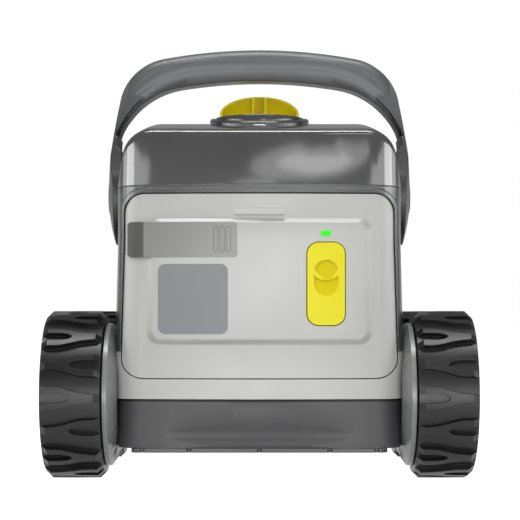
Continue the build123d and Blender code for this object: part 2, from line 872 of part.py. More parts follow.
def filter_basket():
    """The filter's frame, open at the top, with three windows in each wall and the flap's seat."""
    basket = basket_tray(0, basket_floor, basket_top) - basket_tray(-basket_wall, basket_floor + basket_wall, basket_top)
    lip = basket_tray(3, basket_top - 3, basket_top) - basket_tray(-basket_wall, basket_top - 3, basket_top)
    mid = (basket_back + basket_front) / 2
    low, high = basket_floor + 16, basket_top - 14
    windows = []
    for k in (-1, 0, 1):
        x = k * basket_half * 0.6
        y = mid + k * (basket_front - basket_back) * 0.29
        windows.append(block(x - basket_half * 0.24, x + basket_half * 0.24, basket_back - 1, basket_front + 1,
                             low, high))
        deep = (basket_front - basket_back) * 0.115
        windows.append(block(-basket_half - 1, basket_half + 1, y - deep, y + deep, low, high))
    gate = block(-mouth_half + 6, mouth_half - 6, mouth_back + 6, mouth_front - 6, 0, basket_floor + basket_wall)
    ears = [
        block(x - 2, x + 2, mouth_back + 1 - 3, mouth_back + 1 + 3, basket_floor + basket_wall,
              flap_axis_z() + 3)
        for x in (-mouth_half - 1, mouth_half + 1)
    ]
    pin_bore = rod(flap_pin_radius + running_gap, -basket_half, basket_half, y=mouth_back + 1, z=flap_axis_z())
    return basket + lip - windows - gate + ears - (pin_bore & block(-mouth_half - 4, mouth_half + 4, 0, 200, 0, 200))


def flap_axis_z():
    """Height of the intake flap's hinge."""
    return basket_floor + basket_wall + flap_pin_radius + 1.0


def filter_mesh():
    """Fine mesh sheets on the inside of the basket's four walls."""
    low, high = basket_floor + 12, basket_top - 10
    t = mesh_thickness
    side_x = basket_half - basket_wall
    back, front = basket_back + basket_wall, basket_front - basket_wall
    c = basket_corner
    sheets = []
    for side in (-1, 1):
        a, b = sorted((side * side_x, side * (side_x - t)))
        sheets.append(block(a, b, back + c, front - c, low, high))
    sheets.append(block(-side_x + c, side_x - c, back, back + t, low, high))
    sheets.append(block(-side_x + c, side_x - c, front - t, front, low, high))
    return sheets


def intake_flap():
    """The flap that keeps dirt in the basket, on its own pin."""
    z = flap_axis_z()
    seat = basket_floor + basket_wall + fit_gap
    leaf = block(-mouth_half + 3, mouth_half - 3, mouth_back + 1, mouth_front - 2, seat, seat + flap_thickness)
    pin = rod(flap_pin_radius, -mouth_half - 3, mouth_half + 3, y=mouth_back + 1, z=z)
    root = block(-mouth_half + 3, mouth_half - 3, mouth_back + 1, mouth_back + 1 + flap_pin_radius, seat, z)
    return leaf + pin + root


# ---- gears and gear cases ------------------------------------------------------------
def tooth_half_angle(teeth, radius):
    """Half the angle of an involute tooth at a radius."""
    pitch_radius = gear_module * teeth / 2
    base_radius = pitch_radius * cos(radians(pressure_angle))
    angle = acos(min(1.0, base_radius / max(radius, base_radius)))
    involute = tan(angle) - angle
    at_pitch = tan(radians(pressure_angle)) - radians(pressure_angle)
    return pi / (2 * teeth) - gear_backlash / (2 * pitch_radius) + at_pitch - involute


def gear(teeth, bore):
    """A spur gear about X, from x = 0 to its width, with one tooth pointing along +Y."""
    pitch_radius = gear_module * teeth / 2
    tip = pitch_radius + gear_module * 0.95
    root = pitch_radius - gear_root_depth * gear_module
    points = []
    for k in range(teeth):
        middle = 2 * pi * k / teeth
        for radius, side in ((root, -1), (tip, -1), (tip, 1), (root, 1)):
            angle = middle + side * tooth_half_angle(teeth, radius)
            points.append((radius * cos(angle), radius * sin(angle)))
    outline = Polygon(*points, align=None)
    if bore:
        outline -= Circle(bore)
    return across(outline, 0, gear_width)


def mesh_turn(driver_turn, driver_teeth, teeth, direction):
    """The turn, in degrees, that puts a gear in mesh with its driver in the given direction."""
    pitch = 360 / driver_teeth
    past = ((direction - driver_turn) / pitch) % 1.0
    return direction + 180 + (past + 0.5) * 360 / teeth


def gear_turns():
    """How far each gear is turned so that the whole train is in mesh."""
    turns = {"pinion": 0.0}
    for end, sign in ENDS.items():
        direction = 0.0 if sign > 0 else 180.0
        turns["idler_" + end] = mesh_turn(0.0, pinion_teeth, idler_teeth, direction)
        turns["wheel_" + end] = mesh_turn(turns["idler_" + end], idler_teeth, wheel_teeth, direction)
    turns["brush"] = mesh_turn(turns["wheel_front"], wheel_teeth, brush_teeth, -brush_drop_angle)
    return turns


def placed_gear(teeth, bore, turn, side, y, z):
    """A gear set in its place in the case on one side."""
    x = gear_inner if side > 0 else -gear_inner - gear_width
    return Pos(x, y, z) * Rot(turn, 0, 0) * gear(teeth, bore)


def stadium(radius, grow=0.0):
    """Side view of a long round-ended shape over both axles."""
    return Pos(0, axle_z) * SlotCenterToCenter(2 * axle_y, 2 * (radius + grow))


def brush_lobe(radius):
    """Side view of the bulge round the brush's gear, joined to the front axle."""
    return Pos(brush_y, brush_z) * Circle(radius)


def gear_case(side):
    """A drum behind each wheel, joined by a web, hollow for the gear train."""
    cavity_radius = gear_module * (wheel_teeth + 2) / 2 + tip_gap
    lobe = gear_module * (brush_teeth + 2) / 2 + tip_gap
    web = Pos(0, axle_z) * Rectangle(2 * axle_y, 2 * web_half)
    shape = across(web, case_inner, case_outer - 1.5)
    for sign in (-1, 1):
        y = sign * axle_y
        shape += rod(ring_radius, case_inner + ring_flare, case_outer, y=y, z=axle_z)
        cone = Pos(case_inner + ring_flare / 2, y, axle_z) * Rot(0, 90, 0) * Cone(
            ring_radius - ring_flare_rise, ring_radius, ring_flare
        )
        shape += cone
    cavity = stadium(cavity_radius)
    rebate = stadium(cavity_radius, case_rim)
    if side < 0:
        shape += across(brush_lobe(lobe + case_wall), case_inner, case_outer)
        cavity += brush_lobe(lobe)
        rebate += brush_lobe(lobe + case_rim - 1)
    shape -= across(cavity, case_inner, case_outer - case_wall)
    shape -= across(rebate, case_inner, case_inner + case_cover)
    for sign in (-1, 1):
        shape -= rod(sleeve_radius + running_gap + bush_wall, case_outer - case_wall - 1, case_outer + 1,
                     y=sign * axle_y, z=axle_z)
        shape += rod(stub_radius, case_inner + case_cover, case_outer - case_wall, y=sign * idler_y, z=axle_z)
    if side > 0:
        shape -= rod(brush_shaft_radius + running_gap, case_inner - 1, case_outer - case_wall, y=brush_y, z=brush_z)
    return mirrored(shape, side)


def gear_covers():
    """The inner lids of the two gear cases, set in a rebate."""
    cavity_radius = gear_module * (wheel_teeth + 2) / 2 + tip_gap
    lobe = gear_module * (brush_teeth + 2) / 2 + tip_gap
    covers = []
    for side in (-1, 1):
        face = stadium(cavity_radius, case_rim - fit_gap)
        if side < 0:
            face += brush_lobe(lobe + case_rim - 1 - fit_gap)
        plate = across(face, case_inner, case_inner + case_cover)
        plate -= rod(drive_shaft_radius + 1, case_inner - 1, case_inner + case_cover + 1, z=axle_z)
        for sign in (-1, 1):
            plate -= rod(stub_radius + running_gap, case_inner - 1, case_inner + case_cover + 1, y=sign * axle_y, z=axle_z)
        plate -= rod(brush_shaft_radius + running_gap, case_inner - 1, case_outer, y=brush_y, z=brush_z)
        covers.append(mirrored(plate, side))
    return covers


def stub_axles():
    """The four fixed axles that stand out of the gear covers through the wheels' hubs."""
    end = wheel_mid + tyre_width / 2 - rim_inset - rim_dish - 1
    axle = rod(stub_radius, case_inner, end, z=axle_z)
    return [mirrored(Pos(0, sign * axle_y, 0) * axle, side) for side in (-1, 1) for sign in (-1, 1)]


def axle_bushes():
    """Plain bushes in the gear cases round the wheels' sleeves."""
    bush = rod(sleeve_radius + running_gap + bush_wall, case_outer - case_wall, case_outer, z=axle_z) - rod(
        sleeve_radius + running_gap, case_outer - case_wall, case_outer, z=axle_z
    )
    return [mirrored(Pos(0, sign * axle_y, 0) * bush, side) for side in (-1, 1) for sign in (-1, 1)]


def drive_pinion(side):
    """The motor's pinion and its shaft."""
    shaft_start = body_half - wall - 14
    shaft = rod(drive_shaft_radius, shaft_start, gear_inner + gear_width, z=axle_z)
    wheel = placed_gear(pinion_teeth, 0, gear_turns()["pinion"], side, 0, axle_z)
    return mirrored(shaft, side) + wheel


# ---- wheels --------------------------------------------------------------------------
def lug_outline():
    """Tread block seen from outside: a narrow stem that opens into two tines round a slot."""
    end = tyre_width / 2 + 1
    neck = shoulder_width - tyre_width / 2
    stem, tine = lug_narrow / 2, lug_wide / 2
    slot_round = lug_slot_length / 2
    slot_start = tyre_width / 2 - lug_slot_length + slot_round
    flank = Spline((neck, stem), (neck + 19, stem + 2.9), (neck + 38, tine - 0.3), tangents=[(1, 0.08), (1, 0.06)])
    half = [
        Line((-end, 0), (-end, stem)),
        Line((-end, stem), (neck, stem)),
        flank,
        Line(flank @ 1, (end, tine)),
        Line((end, tine), (end, lug_slot / 2)),
        Line((end, lug_slot / 2), (slot_start, lug_slot / 2)),
        EllipticalCenterArc((slot_start, 0), slot_round, lug_slot / 2, 90, arc_size=90),
        Line((slot_start - slot_round, 0), (-end, 0)),
    ]
    upper = make_face(half)
    return upper + mirror(upper, Plane.XZ)


def tread_profile():
    """Half section of the tread blocks, with sloped shoulders, as (x, radius)."""
    half = tyre_width / 2
    base = tyre_radius - lug_height
    return Polygon(
        (-half, base - 2),
        (half, base - 2),
        (half, base),
        (half - shoulder_width, tyre_radius),
        (-half + shoulder_width, tyre_radius),
        (-half, base),
        align=None,
    )


def tyre():
    """The tyre about X, centred on the origin, with one tread block pointing along -Y."""
    base = tyre_radius - lug_height
    carcass = rod(base, -tyre_width / 2, tyre_width / 2) - rod(tyre_bore_radius, -tyre_width / 2, tyre_width / 2)
    ring = revolve(Plane.XY * tread_profile(), Axis.X)
    block_up = extrude(Plane.XY.offset(base - 3) * lug_outline(), amount=lug_height + 6, dir=(0, 0, 1))
    lugs = []
    for k in range(lug_count):
        flip = 180 * ((k + 1) % 2)
        lug = Rot(90, 0, 0) * Rot(0, 0, flip) * block_up & ring
        lugs.append(Rot(360 / lug_count * k, 0, 0) * lug)
    return carcass.fuse(*[s for lug in lugs for s in lug.solids()])


def rim():
    """The dished wheel about X, outer side towards +X, with its sleeve into the gear case."""
    half = tyre_width / 2
    face = half - rim_inset
    hub_face = face - rim_dish
    sleeve_end = gear_inner - wheel_mid - gear_side_gap / 2
    section = Polygon(
        (-face, tyre_bore_radius),
        (face, tyre_bore_radius),
        (hub_face, hub_radius),
        (hub_face, stub_radius + running_gap),
        (sleeve_end, stub_radius + running_gap),
        (sleeve_end, sleeve_radius),
        (-half, sleeve_radius),
        (-half, hub_radius),
        (hub_face - rim_web, hub_radius),
        (-face, tyre_bore_radius - rim_lip),
        align=None,
    )
    disc = revolve(Plane.XY * section, Axis.X)
    cut = [
        (window_inner, -window_angle * 0.45),
        (window_outer, -window_angle / 2),
        (window_outer, window_angle / 2),
        (window_inner, window_angle * 0.45),
    ]
    window = Polygon(*[(r * cos(radians(a)), r * sin(radians(a))) for r, a in cut], align=None)
    hole = across(window, -half, half)
    return disc - [Rot(360 / window_count * k, 0, 0) * hole for k in range(window_count)]


def hub_cap():
    """The cap over the wheel's axle end, low and domed."""
    face = tyre_width / 2 - rim_inset - rim_dish
    cap = Pos(face + cap_dome / 2, 0, 0) * Rot(0, 90, 0) * Cylinder(hub_radius, cap_dome)
    return chamfer(cap.edges().sort_by(Axis.X)[-1], cap_dome * 0.6)


# ---- brush ---------------------------------------------------------------------------
def brush_core():
    """The brush's core with its end journals and the gear that drives it."""
    core = rod(brush_core_radius, -brush_half_length, brush_half_length, y=brush_y, z=brush_z)
    left = -gear_inner - gear_width
    right = case_outer - case_wall - 1
    journal = rod(brush_shaft_radius, left, right, y=brush_y, z=brush_z)
    return core + journal + placed_gear(brush_teeth, 0, gear_turns()["brush"], -1, brush_y, brush_z)


def brush_fins():
    """The rubber sleeve with its scrubbing fins."""
    half = brush_half_length - 3
    sleeve_outer = brush_core_radius + 4
    sleeve = Circle(sleeve_outer)
    middle = (sleeve_outer - 1 + brush_radius) / 2
    for k in range(brush_fin_count):
        turn = Rot(0, 0, 360 / brush_fin_count * k)
        sleeve += turn * Pos(middle, 0) * Rectangle(brush_radius - sleeve_outer + 1, brush_fin)
    sleeve -= Circle(brush_core_radius)
    return Pos(0, brush_y, brush_z) * across(sleeve, -half, half)


# ---- carry handle --------------------------------------------------------------------
def handle_arcs():
    """The bail's outer and inner arcs on the right, from the middle of the crown down to the leg."""
    inner_leg = handle_half - arm_thickness
    shoulder = (handle_half - shoulder_in, handle_top - shoulder_drop)
    outer = [TangentArc((0, handle_top), shoulder, tangent=(1, 0))]
    outer.append(TangentArc(outer[-1] @ 1, (handle_half - leg_in, handle_top - leg_drop), tangent=outer[-1] % 1))
    outer.append(TangentArc(outer[-1] @ 1, (handle_half, pivot_z), tangent=outer[-1] % 1))
    crown_end = (shoulder[0] - inner_crown_in, handle_under - inner_crown_drop)
    inner = [TangentArc((0, handle_under), crown_end, tangent=(1, 0))]
    inner.append(TangentArc(inner[-1] @ 1, (inner_leg - inner_leg_in, handle_under - inner_leg_drop),
                            tangent=inner[-1] % 1))
    inner.append(TangentArc(inner[-1] @ 1, (inner_leg, pivot_z + boss_radius + 2), tangent=inner[-1] % 1))
    return outer, inner


def handle_front_view():
    """The bail from behind, its right half: a shallow crown, a round shoulder and a leg that thins downwards."""
    outer, inner = handle_arcs()
    low, high, root = pivot_z - boss_radius, pivot_z + boss_radius - 4, body_half + handle_boss_gap
    rest = Polyline(outer[-1] @ 1, (handle_half, low), (root, low), (root, high), inner[-1] @ 1)
    return make_face(outer + [rest] + inner[::-1] + [Line((0, handle_under), (0, handle_top))])


def bevel_ring(middle, radius, x0, x1, face_y, inward):
    """What a bevel takes off the bail's inner edge, along an arc round middle, between x0 and x1."""
    profile = Polygon(
        (radius - 6, face_y - inward * 30),
        (radius + grip_bevel, face_y - inward * 30),
        (radius + grip_bevel, face_y),
        (radius, face_y + inward * grip_bevel),
        (radius - 6, face_y + inward * grip_bevel),
        align=None,
    )
    spot = (middle.X, 0, middle.Y)
    ring = revolve(Plane(spot, x_dir=(1, 0, 0), z_dir=(0, 0, 1)) * profile, Axis(spot, (0, 1, 0)))
    return ring & block(x0, x1, pivot_y - 60, pivot_y + 60, handle_under - 60, handle_top)


def grip_bevels():
    """The bevels under the crown, which run out in the shoulders."""
    crown, corner = handle_arcs()[1][:2]
    slope = crown % 1
    run_out = grip_bevel - 1
    join = (crown @ 1).X - run_out
    shifted = corner.arc_center - Vector(run_out, run_out * slope.Y / slope.X)
    cuts = []
    for inward in (1, -1):
        face_y = pivot_y - inward * handle_depth / 2
        cuts.append(bevel_ring(crown.arc_center, crown.radius, -1, join, face_y, inward))
        cuts.append(bevel_ring(shifted, corner.radius, join, handle_half, face_y, inward))
    return cuts


def handle_side_view():
    """The bail from the side: a round boss and a leg that narrows to the grip's depth."""
    grip = handle_depth / 2
    leg = make_face(
        Polyline(
            (-boss_radius * 0.86, boss_radius * 0.5),
            (-grip, handle_top - leg_drop + leg_spread_rise - pivot_z),
            (-grip, handle_top - pivot_z + 1),
            (grip, handle_top - pivot_z + 1),
            (grip, handle_top - leg_drop + leg_spread_rise - pivot_z),
            (boss_radius * 0.86, boss_radius * 0.5),
            close=True,
        )
    )
    return Pos(pivot_y, pivot_z) * (leg + Circle(boss_radius))


def carry_handle():
    """The bail with its two domed pivot bosses."""
    bail = along(handle_front_view(), pivot_y - boss_radius - 1, pivot_y + boss_radius + 1)
    bail &= across(handle_side_view(), 0, handle_half + 1)
    outer = handle_arcs()[0][:2]
    rims = [e for e in bail.edges().filter_by(GeomType.CIRCLE)
            if any(abs(e.radius - arc.radius) < 0.01 for arc in outer)]
    bail = fillet(rims, grip_round) - grip_bevels()
    dome_radius = (boss_radius**2 + boss_dome**2) / (2 * boss_dome)
    apex = handle_half + 0.2
    dome = Pos(apex - dome_radius, pivot_y, pivot_z) * Sphere(dome_radius)
    dome += rod(dome_radius, pivot_z, handle_top + 5, x=apex - dome_radius, y=pivot_y, axis="Z")
    bail &= dome
    bail -= rod(pivot_radius + running_gap, body_half, handle_half + 1, y=pivot_y, z=pivot_z)
    bail -= rod(pivot_cap_radius, handle_half - pivot_cap, handle_half + 1, y=pivot_y, z=pivot_z)
    return bail + mirrored(bail, -1)


def handle_pivots():
    """The fixed pins that the handle turns on, with a flange inside the frame's wall."""
    inner = body_half - pivot_seat
    pin = rod(pivot_radius, inner, handle_half - pivot_cap - fit_gap, y=pivot_y, z=pivot_z)
    pin += rod(pivot_flange_radius, inner - pivot_flange, inner, y=pivot_y, z=pivot_z)
    return [mirrored(pin, side) for side in (-1, 1)]


def pivot_caps():
    """Flat caps over the pins, set in the bosses."""
    cap = rod(pivot_cap_radius - running_gap, handle_half - pivot_cap, handle_half, y=pivot_y, z=pivot_z)
    return [mirrored(cap, side) for side in (-1, 1)]


def bottom_screws():
    """The screws that hold the service plate, sunk a little in their counterbores."""
    low = ground_clearance + screw_sink
    screw = rod(screw_head_radius, low, low + screw_head, axis="Z") + rod(screw_radius, low, floor_top, axis="Z")
    return [Pos(x, y, 0) * screw for x, y in screw_places()]


# ---- build ---------------------------------------------------------------------------
def main():
    os.makedirs("parts", exist_ok=True)
    save("base_chassis", base_chassis())
    save("bottom_plate", bottom_plate())
    save("bottom_screws", bottom_screws())
    save("lower_shell", lower_shell())
    save("upper_frame", upper_frame())
    save("rear_panel", rear_panel())
    save("badge_plate", badge_plate())
    save("badge_windows", badge_windows())
    save("status_lens", status_lens())
    save("charge_socket", charge_socket())
    save("socket_pins", socket_pins())
    save("charge_cap", charge_cap())
    save("charge_seal", charge_seal())
    save("top_cover", top_cover())
    save("filter_lid", filter_lid())
    save("lid_latch", lid_latch())
    save("lid_hinge_pins", lid_hinge_pins())
    save("outlet_nozzle", outlet_nozzle())
    save("pump_housing", pump_housing())
    save("pump_motor", pump_motor())
    save("propeller", propeller())
    save("battery_pack", battery_pack())
    save("control_board", control_board())
    save("drive_motors", drive_motors())
    save("filter_basket", filter_basket())
    save("filter_mesh", filter_mesh())
    save("intake_flap", intake_flap())
    save("gear_covers", gear_covers())
    save("stub_axles", stub_axles())
    save("axle_bushes", axle_bushes())
    save("brush_core", brush_core())
    save("brush_fins", brush_fins())
    save("carry_handle", carry_handle())
    save("handle_pivots", handle_pivots())
    save("pivot_caps", pivot_caps())
    turns = gear_turns()
    tread, disc, cap = tyre(), rim(), hub_cap()
    for side_name, side in SIDES.items():
        save("gear_case_" + side_name, gear_case(side))
        save("drive_pinion_" + side_name, drive_pinion(side))
        for end_name, end in ENDS.items():
            corner = end_name + "_" + side_name
            place = Pos(side * wheel_mid, end * axle_y, axle_z)
            turned = Rot(0, 0, 0 if side > 0 else 180)
            save("tyre_" + corner, place * tread)
            save("rim_" + corner, place * turned * disc)
            save("hub_cap_" + corner, place * turned * cap)
            save("wheel_gear_" + corner, placed_gear(wheel_teeth, sleeve_radius + running_gap,
                                                     turns["wheel_" + end_name], side, end * axle_y, axle_z))
            save("idler_gear_" + corner, placed_gear(idler_teeth, stub_radius + running_gap,
                                                     turns["idler_" + end_name], side, end * idler_y, axle_z))


if __name__ == "__main__":
    main()
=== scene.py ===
"""Looks of a cordless pool-cleaning robot: casings, wheels, handle, outlet, rear panel and a plain studio.

X runs across the machine, +Y is the way it drives and +Z is up, in metres, with the floor at z = 0.
"""

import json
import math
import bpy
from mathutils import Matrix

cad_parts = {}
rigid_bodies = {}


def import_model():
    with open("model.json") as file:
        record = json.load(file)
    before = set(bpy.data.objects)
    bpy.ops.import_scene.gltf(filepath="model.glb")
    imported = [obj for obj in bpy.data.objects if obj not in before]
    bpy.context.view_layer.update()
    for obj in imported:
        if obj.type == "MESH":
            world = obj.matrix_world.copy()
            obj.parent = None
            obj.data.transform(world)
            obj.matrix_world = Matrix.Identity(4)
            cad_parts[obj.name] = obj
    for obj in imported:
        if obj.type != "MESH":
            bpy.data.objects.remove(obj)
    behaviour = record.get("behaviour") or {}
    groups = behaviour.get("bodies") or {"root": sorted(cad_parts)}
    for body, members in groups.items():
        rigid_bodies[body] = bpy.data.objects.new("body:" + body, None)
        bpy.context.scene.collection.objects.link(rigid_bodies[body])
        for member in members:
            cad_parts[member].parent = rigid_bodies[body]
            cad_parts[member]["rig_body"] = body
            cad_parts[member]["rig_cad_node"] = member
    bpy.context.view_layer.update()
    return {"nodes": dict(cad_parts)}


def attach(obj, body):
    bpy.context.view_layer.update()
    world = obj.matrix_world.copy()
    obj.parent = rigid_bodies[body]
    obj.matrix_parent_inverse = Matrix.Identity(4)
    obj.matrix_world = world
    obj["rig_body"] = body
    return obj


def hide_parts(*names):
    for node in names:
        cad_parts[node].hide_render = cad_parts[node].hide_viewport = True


bl_info = {
    "name": "Pool Cleaner Looks",
    "version": (1, 0, 0),
    "blender": (4, 5, 0),
    "location": "View3D > Sidebar > Pool Cleaner",
    "description": "Dresses the packed pool cleaner with moulded casings, lugged tyres and a plain studio",
    "category": "Object",
}

import bpy

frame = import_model()
MM = 0.001
CORNERS = [end + "_" + side for side in ("left", "right") for end in ("rear", "front")]
SLACK = 0.00001  # corners closer than this are one corner
FLAT_BELOW = 0.5  # degrees between faces, below which they become one
SMOOTH_BELOW = 32.0  # degrees between faces, below which the edge is shaded smooth

# how far along an axis a face's normal has to go, to tell faces apart
FORWARD = 0.5
UPRIGHT = 0.3
SQUARE_ON = 0.9

# ---- places and sizes on the machine, in metres --------------------------------------
# radius of the bow in the body's rear face
BOW_RADIUS = 1.014

# the flanks lean out by this much, reached over a run below a height
FLARE = 0.0034
FLARE_TOP = 0.241
FLARE_RUN = 0.095
# across, the lean starts at one distance from the middle, is whole at the crest and loses a share after it
FLARE_START = 0.112
FLARE_CREST = 0.1335
FLARE_FALL = 0.006
FLARE_BACK_SHARE = 0.12

# raised field of the rear panel in its CAD shape: front, middle, half sizes and corner radius
FIELD_FRONT = -0.184
FIELD_Z = 0.19925
FIELD_HALF = 0.0952
FIELD_HALF_TALL = 0.05745
FIELD_ROUND = 0.008
# its slopes' rise, and how far they run out for their depth, at the sides and above and below
FIELD_RISE = 0.0046
FIELD_SPREAD = 1.68
FIELD_STEEP = 1.24
# its crown and foot when trued, as (half width, half height, corner radius), and the rounding of both edges
RIM_CROWN = (0.1056, 0.0576, 0.0085)
RIM_FOOT = (0.1116, 0.0624, 0.0125)
RIM_ROUND = 0.0009
RIM_TURN = 15.0  # degrees between faces, above which an edge is the crown's or the foot's
# what counts as on the slope's edges, and what moves with the slope: distances, and shares of its rise
ON_RIM = 0.0002
ON_RIM_SHARE = 0.05
WITH_RIM = 0.0016
WITH_RIM_SHARE = 0.2

# plain plate, charging cap, label and windows on the panel
BADGE_TONE_X = -0.1143
CAP_X = 0.0657
GRIP_Z = 0.2027
GRIP_HALF = 0.0126
GRIP_HALF_TALL = 0.0178
GRIP_BACK = -0.178
LABEL_PLACE = (-0.0655, -0.2, 0.1818)
LABEL_SIZE = 0.069
LABEL_CORNER = 0.007
LABEL_STRIPS = 16
LABEL_LIFT = 0.0003
LABEL_THICKNESS = 0.00025
WINDOW_EDGE = 0.0008

# outlet, and the painted shadow line along the apron's top, under the shell
OUTLET_Y = -0.058
OUTLET_BORE = 0.0395
SHADOW_LINE_Z = 0.0803

# drums behind the rear wheels: their axis, the neck's outer end and radius, and the run over which it starts
DRUM_Y = 0.118
DRUM_Z = 0.085
NECK_X = 0.1446
NECK_REACH = 0.05
NECK_BLEND = 0.018

# carry handle: its middle, its half depth and the height over which it is the grip
HANDLE_Y = -0.058
HANDLE_HALF = 0.017
HANDLE_SHOULDER = 0.372
# the grip's lower bevels: how far their normals go along y, down and inwards, and what share of depth stays
BEVEL_NORMAL = (0.55, 0.85)
BEVEL_DOWN = 0.1
BEVEL_INWARDS = 0.5
BEVEL_DRAWN = 0.5
BEVEL_SLACK = 0.0002
# half of the ridges' run over the grip, from the middle out, as (x, z, share of their width)
RIDGE = [
    (0, 0.4291, 1),
    (0.03, 0.4291, 1),
    (0.055, 0.4284, 1),
    (0.08, 0.4258, 1),
    (0.1, 0.42, 0.97),
    (0.115, 0.412, 0.92),
    (0.126, 0.4025, 0.84),
    (0.1315, 0.3965, 0.7),
]
# the ridges' half width and half depth, how deep their axis lies, and their smoothing angle in degrees
RIDGE_HALF = 0.008
RIDGE_HALF_DEEP = 0.0024
RIDGE_SINK = 0.0017
RIDGE_SMOOTH_BELOW = 60.0


# ---- settings that a user would change -----------------------------------------------
class CleanerColours(bpy.types.PropertyGroup):
    """Colours of the machine's finishes, as sRGB hex values."""

    cover: bpy.props.StringProperty(name="Cover", description="Glossy cover over the top", default="#525253")
    frame: bpy.props.StringProperty(name="Frame", description="Frame under the cover", default="#3E3F40")
    handle: bpy.props.StringProperty(name="Handle", description="Carry handle", default="#5A5B5D")
    panel: bpy.props.StringProperty(name="Panel", description="Panel and lower shell", default="#BFC0BB")
    drum: bpy.props.StringProperty(name="Drums", description="Cases behind the wheels", default="#8E8F8F")
    apron: bpy.props.StringProperty(name="Apron", description="Lower casing", default="#3B3B3D")
    tyre: bpy.props.StringProperty(name="Tyres", description="Tyre rubber", default="#141415")
    accent: bpy.props.StringProperty(name="Accent", description="Outlet and charging cap", default="#FFF30A")
    plate: bpy.props.StringProperty(name="Plate", description="Plain plate on the panel", default="#7E7E7D")
    sticker: bpy.props.StringProperty(name="Sticker", description="Bare label", default="#7C7E80")
    light: bpy.props.StringProperty(name="Status light", description="Lit lens", default="#24F000")


class StudioSettings(bpy.types.PropertyGroup):
    """Camera and lamps."""

    distance: bpy.props.FloatProperty(
        name="Distance", description="Camera's way behind the machine's middle", default=1.758, unit="LENGTH"
    )
    eye_height: bpy.props.FloatProperty(
        name="Eye height", description="Camera's height over the floor", default=0.169, unit="LENGTH"
    )
    lens: bpy.props.FloatProperty(
        name="Lens", description="Focal length in millimetres", default=110.9, min=10
    )
    lift: bpy.props.FloatProperty(
        name="Lift", description="Vertical shift of the picture", default=0.1
    )
    side: bpy.props.FloatProperty(
        name="Side", description="Sideways shift of the picture", default=0.0012
    )
    key: bpy.props.FloatProperty(
        name="Key", description="Power of the main lamp", default=20.5, unit="POWER"
    )
    fill: bpy.props.FloatProperty(
        name="Fill", description="Power of the fill lamp and of the top lamp", default=7.0, unit="POWER"
    )
    cards: bpy.props.FloatProperty(
        name="Cards", description="Brightness of the soft boxes in reflections, 1 as designed", default=1.0
    )
    sides: bpy.props.FloatProperty(
        name="Sides", description="Power of the two side lamps", default=2.5, unit="POWER"
    )
    sky: bpy.props.FloatProperty(
        name="Sky", description="Strength of the even light from all round", default=0.28
    )


# ---- materials -----------------------------------------------------------------------
# sizes of the patterns, in millimetres: drifts of gloss and tone, scratches, and ripples in the lens
DRIFT = 55.56
SCRATCH = 0.4
RIPPLE = 1.111
RIPPLE_DEPTH = 0.02

METAL_DRIFT = 0.06  # how far bare metal's roughness goes up and down
EVEN_NOISE = {"From Min": 0.3, "From Max": 0.7}  # most of a noise's values lie between these


def linear(code):
    """An sRGB hex colour as linear RGBA."""
    channels = [int(code[k : k + 2], 16) / 255 for k in (1, 3, 5)]
    return [c / 12.92 if c <= 0.04045 else ((c + 0.055) / 1.055) ** 2.4 for c in channels] + [1.0]


def add(tree, kind, values=None, links=None, **settings):
    """Adds a node with its settings, its sockets' values and its incoming links."""
    node = tree.nodes.new(kind)
    for name, value in settings.items():
        setattr(node, name, value)
    for name, value in (values or {}).items():
        node.inputs[name].default_value = value
    for name, source in (links or {}).items():
        tree.links.new(source, node.inputs[name])
    return node


def blank(name):
    """A new material with only its output node, which is returned with the tree."""
    made = bpy.data.materials.new(name)
    made.use_nodes = True
    made.node_tree.nodes.clear()
    return made, made.node_tree, add(made.node_tree, "ShaderNodeOutputMaterial")


def moulded(name, code, roughness, grain, depth, edge, drift=0.03, wear=0.06, ior=1.5, foot=None):
    """Moulded plastic or rubber: the mould's grain, rounded edges and slow drifts of gloss and tone.

    The grain's width and depth and the edges' radius are in millimetres. A foot is a darker second colour,
    painted shade low down, with the heights, in metres, between which it runs into the first one.
    """
    made, tree, output = blank(name)
    place = add(tree, "ShaderNodeTexCoord").outputs["Object"]
    fine = add(tree, "ShaderNodeTexNoise", {"Scale": 1 / (grain * MM), "Detail": 2.0}, {"Vector": place})
    slow = add(tree, "ShaderNodeTexNoise", {"Scale": 1 / (DRIFT * MM), "Detail": 3.0}, {"Vector": place})
    rounding = add(tree, "ShaderNodeBevel", {"Radius": edge * MM}, samples=4)
    bump = add(
        tree,
        "ShaderNodeBump",
        {"Strength": 1.0, "Distance": depth * MM},
        {"Height": fine.outputs["Fac"], "Normal": rounding.outputs["Normal"]},
    )
    gloss = add(
        tree,
        "ShaderNodeMapRange",
        {**EVEN_NOISE, "To Min": roughness - drift, "To Max": roughness + drift},
        {"Value": slow.outputs["Fac"]},
    )
    tone = add(tree, "ShaderNodeHueSaturation", {"Color": linear(code)})
    # a foot is painted shade: a darker colour low down, which runs into the first between two heights
    if foot:
        second, low, high = foot
        height = add(tree, "ShaderNodeSeparateXYZ", links={"Vector": place}).outputs["Z"]
        share = add(tree, "ShaderNodeMapRange", {"From Min": low, "From Max": high}, {"Value": height})
        blend = add(
            tree,
            "ShaderNodeMix",
            {"A": linear(second), "B": linear(code)},
            {"Factor": share.outputs["Result"]},
            data_type="RGBA",
        )
        tree.links.new(blend.outputs["Result"], tone.inputs["Color"])
    level = add(
        tree,
        "ShaderNodeMapRange",
        {**EVEN_NOISE, "To Min": 1 - wear, "To Max": 1 + wear},
        {"Value": slow.outputs["Fac"]},
    )
    tree.links.new(level.outputs["Result"], tone.inputs["Value"])
    shader = add(
        tree,
        "ShaderNodeBsdfPrincipled",
        {"IOR": ior},
        {
            "Base Color": tone.outputs["Color"],
            "Roughness": gloss.outputs["Result"],
            "Normal": bump.outputs["Normal"],
        },
    )
    tree.links.new(shader.outputs["BSDF"], output.inputs["Surface"])
    return made


